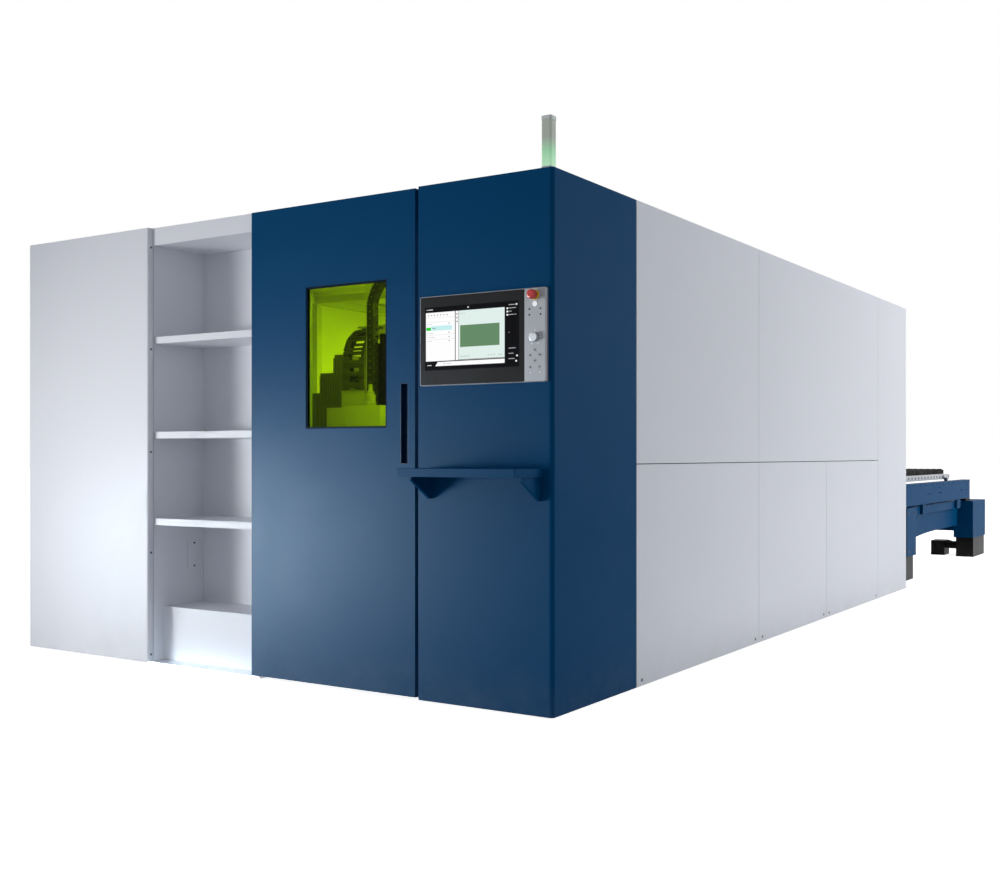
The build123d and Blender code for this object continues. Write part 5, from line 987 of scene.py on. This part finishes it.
class LASER_OT_add_cutting_unit(bpy.types.Operator):
    """Add the fittings of head and carriage: coupling, rings, covers, drive and supply chain"""
    bl_idname = "laser.add_cutting_unit"
    bl_label = "Add Cutting Unit Fittings"

    # Fibre coupling on top of the head and its small fittings, as distances and radii in metres
    COUPLING = ((0, 0.033), (0.02, 0.033), (0.024, 0.029), (0.06, 0.029), (0.064, 0.022), (0.078, 0.022),
                (0.084, 0.012), (0.12, 0.010))
    SENSOR_RINGS = ((0.034, 0.036), (0.012, 0.032))
    WATER_FITTING = ((0, 0.009), (0.008, 0.009), (0.009, 0.006), (0.022, 0.006))
    MOTOR = ((-0.002, 0.021), (0.05, 0.021), (0.054, 0.018))

    # Covers and drive of the carriage, in millimetres
    COVER_RIGHT, COVER_LEFT, COVER_LOW, COVER_HIGH = 1740, 1990, 1150, 1329
    COVER_FRONT, COVER_BACK = 1089, 1180
    BRACKET_FRONT, BRACKET_LOW, BRACKET_HIGH = 1235.5, 2045, 2097
    DRIVE_LOW, DRIVE_HIGH = 1325, 1690

    # Supply chain of the head: its foot in millimetres, its links and hoses in metres
    CHAIN_FOOT = (1891, 1210, 1325)
    PITCH, UPRIGHT_LINKS, BEND_RADIUS, BEND_LINKS = 0.040, 14, 0.185, 7
    LINK_WIDTH, LINK_HEIGHT, LINK_BAR = 0.050, 0.046, 0.030
    HOSE_OFFSET, HOSE_RADIUS = 0.011, 0.008

    def execute(self, context):
        self.dress_head()
        self.dress_carriage()
        self.add_supply_chain()
        return {"FINISHED"}

    def dress_head(self):
        """Adds the fibre coupling, the lens drawer's plate, the rings and the water fittings of the head."""
        low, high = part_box("cutting_head")
        middle = Vector(((low.x + high.x) / 2, (low.y + high.y) / 2, 0))
        head = Piece("bolt_steel", "strip_silver")
        head.turned(middle + Vector((0, 0, high.z)), (0, 0, 1), self.COUPLING, 1, sides=36)
        head.block((low.x + 0.008, low.y - 0.002, high.z - 0.13),
                   (high.x - 0.008, low.y + 0.001, high.z - 0.02), 1, edge=0.001)
        for x in (low.x + 0.014, high.x - 0.014):
            for z in (high.z - 0.124, high.z - 0.026):
                head.screw((x, low.y - 0.002, z), (0, -1, 0), 0.0035, 0.002)
        for up, r in self.SENSOR_RINGS:
            profile = ((0, r - 0.002), (0.002, r), (0.008, r), (0.01, r - 0.002))
            head.turned(middle + Vector((0, 0, low.z + up)), (0, 0, 1), profile, sides=36)
        for x, side in ((low.x, -1), (high.x, 1)):
            for z in (high.z - 0.09, high.z - 0.17):
                head.turned((x, middle.y, z), (side, 0, 0), self.WATER_FITTING, sides=18)
        head.place("head_fittings", "head", "black_paint")

    def dress_carriage(self):
        """Adds the screws, pads and bracket of the carriage, the cover before the head and the drive."""
        low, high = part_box("head_carriage")
        front, centre = low.y, (low.x + high.x) / 2
        plate = Piece("bed_paint", "bolt_steel", "black_paint")
        for dx in (-0.13, 0.13):
            for z in (low.z + 0.02, low.z + 0.16):
                plate.screw((centre + dx, front, z), (0, -1, 0), 0.006, 0.004, 1)
        for dx in (-0.105, 0.105):
            plate.block((centre + dx - 0.03, front - 0.004, low.z + 0.01),
                        (centre + dx + 0.03, front, low.z + 0.175), 0, edge=0.002)
        plate.block(at(1960, self.BRACKET_FRONT, self.BRACKET_LOW),
                    at(1665, self.BRACKET_FRONT + 4, self.BRACKET_HIGH), 0, edge=0.0015)
        for left in (1950, 1930):
            plate.screw(at(left, self.BRACKET_FRONT, 2071), (0, -1, 0), *PANEL_SCREW, 1)
        plate.block(at(self.COVER_LEFT, self.COVER_FRONT, self.COVER_LOW),
                    at(self.COVER_RIGHT, self.COVER_FRONT + 3, self.COVER_HIGH), 0, edge=0.001)
        for left in (self.COVER_LEFT, self.COVER_RIGHT + 3):
            plate.block(at(left, self.COVER_FRONT + 2, self.COVER_LOW),
                        at(left - 3, self.COVER_BACK, self.COVER_HIGH), 0, edge=0.001)
        plate.block(at(1914, 1243, self.DRIVE_LOW), at(1800, 1288, self.DRIVE_HIGH), 2, edge=0.004)
        plate.turned(at(1857, 1265, self.DRIVE_HIGH), (0, 0, 1), self.MOTOR, 2, sides=32)
        plate.place("carriage_fittings", "carriage", "bed_paint")

    def add_supply_chain(self):
        """Adds the chain that rises from the carriage and bends towards the right, with two hoses in it."""
        foot = at(*self.CHAIN_FOOT)
        spots = [(foot.x, foot.z + self.PITCH * (i + 0.5), 90) for i in range(self.UPRIGHT_LINKS)]
        hub = (foot.x + self.BEND_RADIUS, foot.z + self.PITCH * self.UPRIGHT_LINKS)
        half = 45.0 / self.BEND_LINKS
        bend = arc_points(hub, self.BEND_RADIUS, 180 - half, 90 + half, self.BEND_LINKS - 1)
        spots += [(x, z, 90 - half * (2 * i + 1)) for i, (x, z) in enumerate(bend)]
        spots.append((hub[0] + self.PITCH / 2, hub[1] + self.BEND_RADIUS, 0))
        chain = Piece("hose_rubber", "bolt_steel", "hose_grey")
        for x, z, slope in spots:
            turn = Matrix.Rotation(math.radians(-slope), 4, "Y")
            add_link(chain, Matrix.Translation((x, foot.y, z)) @ turn, self.PITCH, self.LINK_WIDTH,
                     self.LINK_HEIGHT, self.LINK_BAR)
        line = [(foot.x, foot.z + 0.001), *[(x, z) for x, z, _ in spots],
                (hub[0] + self.PITCH, hub[1] + self.BEND_RADIUS)]
        for offset in (-self.HOSE_OFFSET, self.HOSE_OFFSET):
            chain.pipe([(x, foot.y + offset, z) for x, z in line], self.HOSE_RADIUS, 2)
        chain.place("head_supply_chain", "carriage", "chain_plastic")


class LASER_OT_add_cabin_lamps(bpy.types.Operator):
    """Add the lamp bars under the roof and above the door, and the light they give inside"""
    bl_idname = "laser.add_cabin_lamps"
    bl_label = "Add Cabin Lamps"

    # Right edge, low face and front end of each roof bar in millimetres, and its share of the lamp power
    ROOF_BARS = ((84, 2060, 1560, 1.0), (2110, 2084, 2300, 0.45))
    BAR_BACK, BAR_THICK, GLOW_INSET, GLOW_END = 4700, 30, 4, 30
    CLIPS, CLIP_SIZE = (3640, 4620), 16
    DOOR_BAR_RIGHT, DOOR_BAR_LEFT, DOOR_BAR_FRONT, DOOR_BAR_BACK, DOOR_BAR_LOW = 700, 1560, 64, 104, 2090
    DOOR_SHARE = 0.22

    def execute(self, context):
        settings = context.scene.laser_cabin
        width, power, inset = settings.lamp_width / MM, settings.lamp_power, self.GLOW_INSET
        lamps = Piece("frame_paint", "lamp_glow", "bolt_steel")
        for right, low, front, share in self.ROOF_BARS:
            middle, left = right + width / 2, right + width
            lamps.block(at(right, front, low), at(left, self.BAR_BACK, low + self.BAR_THICK), 0, edge=0.003)
            lamps.block(at(right + inset, front + self.GLOW_END, low - 4),
                        at(left - inset, self.BAR_BACK - self.GLOW_END, low + 1), 1, edge=0.0015)
            for behind in (front + 80, *self.CLIPS):
                lamps.block(at(middle - 8, behind, low + 28),
                            at(middle + 8, behind + self.CLIP_SIZE, low + 31), 2)
            glow = at(middle, (front + self.BAR_BACK) / 2, low - 8)
            add_lamp("cabin_lamp", glow, glow - Vector((0, 0, 1)),
                     (width * MM, (self.BAR_BACK - 60 - front) * MM), power * share, LAMP_WHITE)
        right, left, low = self.DOOR_BAR_RIGHT, self.DOOR_BAR_LEFT, self.DOOR_BAR_LOW
        lamps.block(at(right, self.DOOR_BAR_FRONT, low), at(left, self.DOOR_BAR_BACK, low + 25), 0,
                    edge=0.003)
        lamps.block(at(right + inset, self.DOOR_BAR_FRONT + inset, low - 4),
                    at(left - inset, self.DOOR_BAR_BACK - inset, low + 1), 1, edge=0.0015)
        middle = (right + left) / 2
        add_lamp("door_lamp", at(middle, (self.DOOR_BAR_FRONT + self.DOOR_BAR_BACK) / 2, low - 8),
                 at(middle, 1500, 1100), (0.85, 0.03), power * self.DOOR_SHARE, LAMP_WHITE)
        lamps.place("cabin_lamp_bars", "machine", "frame_paint")
        return {"FINISHED"}


class LASER_OT_add_changer_fittings(bpy.types.Operator):
    """Add the bolts and caps of the lift, the studs and hubs of the pallets, and the motor's fins"""
    bl_idname = "laser.add_changer_fittings"
    bl_label = "Add Changer Fittings"

    # Places in millimetres. The faces are given by their distance from the changer's middle
    MIDDLE, LIFT_FACE, LIFT_INSIDE, PALLET_FACE, END_BOX_FACE = 1120, 980, 920, 820, 970
    LIFT_NUTS, NUT_HEIGHT = range(5670, 8560, 220), 782
    LOW_SCREWS, LOW_HEIGHT = (5760, 6830, 6880, 7260, 7300, 7340, 8180, 8220, 8420), 706
    HIGH_SCREWS, HIGH_HEIGHT = (7280, 8460), 752
    PALLET_BUTTONS, PALLET_ENDS, BUTTON_HEIGHT = range(5600, 8400, 120), (5552, 8408), 838
    HUBS, HUB_HEIGHT, HUB_OUT = (("front", 5785), ("rear", 8175)), 826, 34
    LEVELS = (("upper", 0), ("lower", 200))
    BASE_BOLTS = ((LIFT_FACE, (6150, 6350), (240, 560)), (END_BOX_FACE, (8860, 9360), (250, 530)))
    MOTOR_START = (465, 9000, 109)

    # Bolts of the hubs and fins of the motor, in metres
    HUB_BOLTS, BOLT_CIRCLE = 4, 0.0225
    FIN_COUNT, FIN_FIRST, FIN_SPACE, FIN_RADIUS = 9, 0.012, 0.0115, 0.040

    def execute(self, context):
        radius, height = context.scene.laser_changer.bolt_radius, context.scene.laser_changer.bolt_height
        self.dress_lift(radius, height)
        for level, drop in self.LEVELS:
            self.dress_pallet(level, drop)
        self.bolt_base(radius, height)
        self.add_motor_fins()
        return {"FINISHED"}

    def dress_lift(self, radius, height):
        """Adds the nuts and screws on the lift frame's outer faces and the caps on its ends."""
        lift = Piece("black_paint", "navy_paint")
        for side in (1, -1):
            face, inside = self.MIDDLE - side * self.LIFT_FACE, self.MIDDLE - side * self.LIFT_INSIDE
            for behind in self.LIFT_NUTS:
                lift.turned(at(face + side * 6, behind, self.NUT_HEIGHT), (side, 0, 0),
                            ((0, 0.0072), (0.003, 0.0072), (0.004, 0.006)), sides=6)
            for spots, level in ((self.LOW_SCREWS, self.LOW_HEIGHT), (self.HIGH_SCREWS, self.HIGH_HEIGHT)):
                for behind in spots:
                    lift.screw(at(face, behind, level), (side, 0, 0), radius * 0.75, height * 0.6)
            lift.block(at(face + side, 8577, 621), at(inside - side, 8581, 799), 1, edge=0.0015)
        lift.place("lift_fittings", "lift", "navy_paint")

    def dress_pallet(self, level, drop):
        """Adds the buttons and screws along a pallet's sides and the hubs of its wheels."""
        dots = Piece("fastener_dark", "bolt_steel")
        for side in (1, -1):
            face = self.MIDDLE - side * self.PALLET_FACE
            for behind in self.PALLET_BUTTONS:
                dots.turned(at(face, behind, self.BUTTON_HEIGHT - drop), (side, 0, 0),
                            ((0, 0.011), (0.002, 0.011), (0.003, 0.009)), sides=20)
            for behind in self.PALLET_ENDS:
                dots.screw(at(face, behind, self.BUTTON_HEIGHT - drop), (side, 0, 0), *PANEL_SCREW, 1)
        dots.place(f"{level}_pallet_fittings", f"{level}_pallet", "pallet_paint")
        for place, behind in self.HUBS:
            hub = Piece("bolt_steel", "fastener_dark")
            for side in (1, -1):
                centre = at(self.MIDDLE - side * (self.PALLET_FACE + self.HUB_OUT), behind,
                            self.HUB_HEIGHT - drop)
                hub.turned(centre, (side, 0, 0), ((-0.001, 0.016), (0.003, 0.015), (0.005, 0.012)), sides=28)
                for i in range(self.HUB_BOLTS):
                    a = math.tau * i / self.HUB_BOLTS
                    hub.turned(centre + Vector((0, math.cos(a), math.sin(a))) * self.BOLT_CIRCLE,
                               (side, 0, 0), ((-0.001, 0.003), (0.002, 0.003)), 1, sides=8)
            hub.place(f"{level}_{place}_hubs", f"{level}_{place}_wheels", "bare_steel")

    def bolt_base(self, radius, height):
        """Adds the bolts on the posts and the end boxes of the base."""
        base = Piece("fastener_dark")
        for side in (1, -1):
            for face, places, heights in self.BASE_BOLTS:
                for behind in places:
                    for z in heights:
                        base.bolt(at(self.MIDDLE - side * face, behind, z), (side, 0, 0), radius, height)
        base.place("changer_bolts", "machine", "fastener_dark")

    def add_motor_fins(self):
        """Adds the cooling fins and the terminal box of the lift's motor."""
        motor = Piece("black_paint")
        start = at(*self.MOTOR_START)
        for i in range(self.FIN_COUNT):
            motor.turned(start + Vector((self.FIN_FIRST + self.FIN_SPACE * i, 0, 0)), (1, 0, 0),
                         ((0, self.FIN_RADIUS), (0.005, self.FIN_RADIUS)), sides=40)
        motor.block(at(462, 9022, 118), at(415, 9068, 152), edge=0.004)
        motor.place("motor_fins", "machine", "black_paint")


class LASER_OT_add_cabin_fittings(bpy.types.Operator):
    """Add the screws of roof and rear wall, the gasket of the side seam and the rear louvres"""
    bl_idname = "laser.add_cabin_fittings"
    bl_label = "Add Cabin Fittings"

    # Places in millimetres left of the right side, behind the front and above the floor
    ROOF_ROWS, ROOF_FACE = (90, 1820, 1880, 3620, 3680, 5440), 2195
    ROOF_COLUMNS = (90, 700, 1310, 1920, 2530, 3220)
    WALL_COLUMNS, WALL_HEIGHTS, WALL_FACE = (45, 190, 2050, 3270), (60, 560, 1060, 1560, 2060), 5500
    SEAM_FRONT, SEAM_BACK, SEAM_LOW, SEAM_HIGH = 750, 4697, 1010.2, 1013.8
    LOUVRE_RIGHT, LOUVRE_LEFT, LOUVRE_LOW, LOUVRE_HEIGHT, LOUVRE_EDGE = 2300, 2900, (1300, 500), 380, 20
    BLADE_COUNT, BLADE_FIRST, BLADE_SPACE = 12, 12, 31

    def execute(self, context):
        roof = Piece("bolt_steel")
        for behind in self.ROOF_ROWS:
            for left in self.ROOF_COLUMNS:
                roof.screw(at(left, behind, self.ROOF_FACE), (0, 0, 1), 0.007, 0.003)
        roof.place("roof_screws", "machine", "fastener_dark")

        gasket = Piece("seal_rubber")
        gasket.block(at(27, self.SEAM_FRONT, self.SEAM_LOW), at(22, self.SEAM_BACK, self.SEAM_HIGH))
        gasket.place("side_seam_gasket", "machine", "seal_rubber")

        rear = Piece("white_paint", "bolt_steel", "fastener_dark")
        for left in self.WALL_COLUMNS:
            for height in self.WALL_HEIGHTS:
                rear.screw(at(left, self.WALL_FACE, height), (0, 1, 0), *PANEL_SCREW, 1)
        for low in self.LOUVRE_LOW:
            self.add_louvre(rear, low)
        rear.place("rear_louvres", "machine", "white_paint")
        return {"FINISHED"}

    def add_louvre(self, rear, low):
        """Adds a louvre to the rear wall: its frame, the dark opening and the blades."""
        face, right, left, edge = self.WALL_FACE, self.LOUVRE_RIGHT, self.LOUVRE_LEFT, self.LOUVRE_EDGE
        high = low + self.LOUVRE_HEIGHT
        rear.block(at(right - edge, face, low - edge), at(left + edge, face + 2, high + edge), 0, edge=0.001)
        rear.block(at(right, face + 1, low), at(left, face + 2.5, high), 2)
        for i in range(self.BLADE_COUNT):
            z = low + self.BLADE_FIRST + self.BLADE_SPACE * i
            outline = [at(right, face + out, z + up) for out, up in ((2, 0), (12, -6), (12, -3), (2, 16))]
            rear.prism(outline, ((right - left) * MM, 0, 0), 0)


class LASER_OT_set_stage(bpy.types.Operator):
    """Set the white studio: floor, sky, soft lamps and the camera"""
    bl_idname = "laser.set_stage"
    bl_label = "Set Stage"

    FLOOR_RADIUS, FLOOR_SIDES, FLOOR_GLOW = 90.0, 64, 0.86
    SKY_TINT, SHEEN_TINT = (0.88, 0.92, 1.0), (0.70, 0.87, 1.0)
    CAMERA_PLACE, CAMERA_TURN, CAMERA_SHIFT = (4.0385, -8.6878, 1.0541), 32.80, 0.0087
    SENSOR_WIDTH, VIEW_REACH = 36.0, 300.0

    def execute(self, context):
        scene, settings = context.scene, context.scene.laser_stage
        self.make_floor(scene, settings)
        self.make_sky(scene, settings)
        self.set_lamps(settings)
        self.set_camera(scene, settings)
        scene.view_settings.view_transform = "Standard"
        return {"FINISHED"}

    def make_floor(self, scene, settings):
        """Makes the round floor, which is white where it is seen and lit like the rest elsewhere."""
        material, tree, shader = start_finish("studio_floor", Roughness=0.7, Specular_IOR_Level=0.0)
        shader.inputs["Base Color"].default_value = rgba(settings.floor_white)
        shader.inputs["Emission Color"].default_value = rgba(SOFT_WHITE)
        tree.links.new(number(tree, "MULTIPLY", seen_directly(tree), self.FLOOR_GLOW),
                       shader.inputs["Emission Strength"])
        mesh = bpy.data.meshes.new("studio_floor")
        turns = [math.tau * i / self.FLOOR_SIDES for i in range(self.FLOOR_SIDES)]
        rim = [(self.FLOOR_RADIUS * math.cos(a), self.FLOOR_RADIUS * math.sin(a), 0.0) for a in turns]
        mesh.from_pydata(rim, [], [list(range(self.FLOOR_SIDES))])
        mesh.materials.append(material)
        floor = bpy.data.objects.new("studio_floor", mesh)
        scene.collection.objects.link(floor)

    def make_sky(self, scene, settings):
        """Makes the backdrop, which is white where it is seen and a soft cool light elsewhere."""
        world = bpy.data.worlds.new("studio_sky")
        world.use_nodes = True
        scene.world = world
        sky = world.node_tree
        sky.nodes.clear()
        light = add_node(sky, "ShaderNodeBackground",
                         {"Color": rgba(self.SKY_TINT), "Strength": settings.sky_level})
        white = add_node(sky, "ShaderNodeBackground", {"Color": rgba(SOFT_WHITE), "Strength": 1.0})
        mix = add_node(sky, "ShaderNodeMixShader",
                       {0: seen_directly(sky), 1: light.outputs[0], 2: white.outputs[0]})
        add_node(sky, "ShaderNodeOutputWorld", {"Surface": mix.outputs[0]})

    def set_lamps(self, settings):
        """Sets the soft lamps, and the one that is only seen as sheen on the door."""
        key = add_lamp("key_lamp", (-4.4, -9.3, 0.75), (0.05, -4.6, 0.95), (2.0, 0.9), settings.key_power,
                       SOFT_WHITE)
        key.data.spread = settings.key_spread
        gloss = add_lamp("gloss_lamp", (-2.3, -6.4, 0.44), (0.05, -4.6, 0.15), (1.4, 0.94),
                         settings.gloss_power, self.SHEEN_TINT)
        gloss.visible_diffuse = False
        gloss.data.spread = settings.gloss_spread
        add_lamp("back_lamp", (-7.0, 9.5, 4.2), (-0.6, 2.0, 1.0), (5.0, 4.0), settings.back_power, SOFT_WHITE)
        roof = add_lamp("roof_lamp", (0.0, -1.9, 8.0), (0.0, -1.9, 2.2), (2.4, 1.4), settings.roof_power,
                        SOFT_WHITE)
        roof.data.spread = settings.roof_spread
        add_lamp("side_lamp", (8.8, 4.0, 2.6), (1.6, 1.4, 1.1), (4.0, 3.0), settings.side_power, SOFT_WHITE)

    def set_camera(self, scene, settings):
        """Sets the camera in front of the operator's corner, at the photograph's angle."""
        data = bpy.data.cameras.new("front_camera")
        data.lens, data.sensor_width, data.shift_y = settings.lens, self.SENSOR_WIDTH, self.CAMERA_SHIFT
        data.clip_end = self.VIEW_REACH
        camera = bpy.data.objects.new("front_camera", data)
        camera.location = self.CAMERA_PLACE
        camera.rotation_euler = (math.radians(90.0), 0.0, math.radians(self.CAMERA_TURN))
        scene.collection.objects.link(camera)
        scene.camera = camera


OPERATORS = (LASER_OT_finish_frame, LASER_OT_add_screen, LASER_OT_add_controls, LASER_OT_add_door_back,
             LASER_OT_fill_chains, LASER_OT_add_cutting_unit, LASER_OT_add_cabin_lamps,
             LASER_OT_add_changer_fittings, LASER_OT_add_cabin_fittings, LASER_OT_set_stage)
SETTINGS = (("laser_cabin", CabinSettings), ("laser_console", ConsoleSettings),
            ("laser_inside", InsideSettings), ("laser_changer", ChangerSettings),
            ("laser_stage", StageSettings))


class LASER_PT_machine(bpy.types.Panel):
    """Settings and build steps of the laser cutting machine"""
    bl_idname = "LASER_PT_machine"
    bl_label = "Laser Cutting Machine"
    bl_space_type = "VIEW_3D"
    bl_region_type = "UI"
    bl_category = "Laser Cutter"

    def draw(self, context):
        for key, group in SETTINGS:
            box = self.layout.box()
            box.label(text=group.__name__.replace("Settings", ""))
            for setting in group.__annotations__:
                box.prop(getattr(context.scene, key), setting)
        for operator in OPERATORS:
            self.layout.operator(operator.bl_idname)


def register():
    for key, group in SETTINGS:
        bpy.utils.register_class(group)
        setattr(bpy.types.Scene, key, PointerProperty(type=group))
    for item in (*OPERATORS, LASER_PT_machine):
        bpy.utils.register_class(item)


def unregister():
    for item in (LASER_PT_machine, *reversed(OPERATORS)):
        bpy.utils.unregister_class(item)
    for key, group in reversed(SETTINGS):
        delattr(bpy.types.Scene, key)
        bpy.utils.unregister_class(group)


def main():
    """Builds the whole scene."""
    register()
    for operator in OPERATORS:
        area, name = operator.bl_idname.split(".")
        getattr(getattr(bpy.ops, area), name)()


if __name__ == "__main__":
    main()
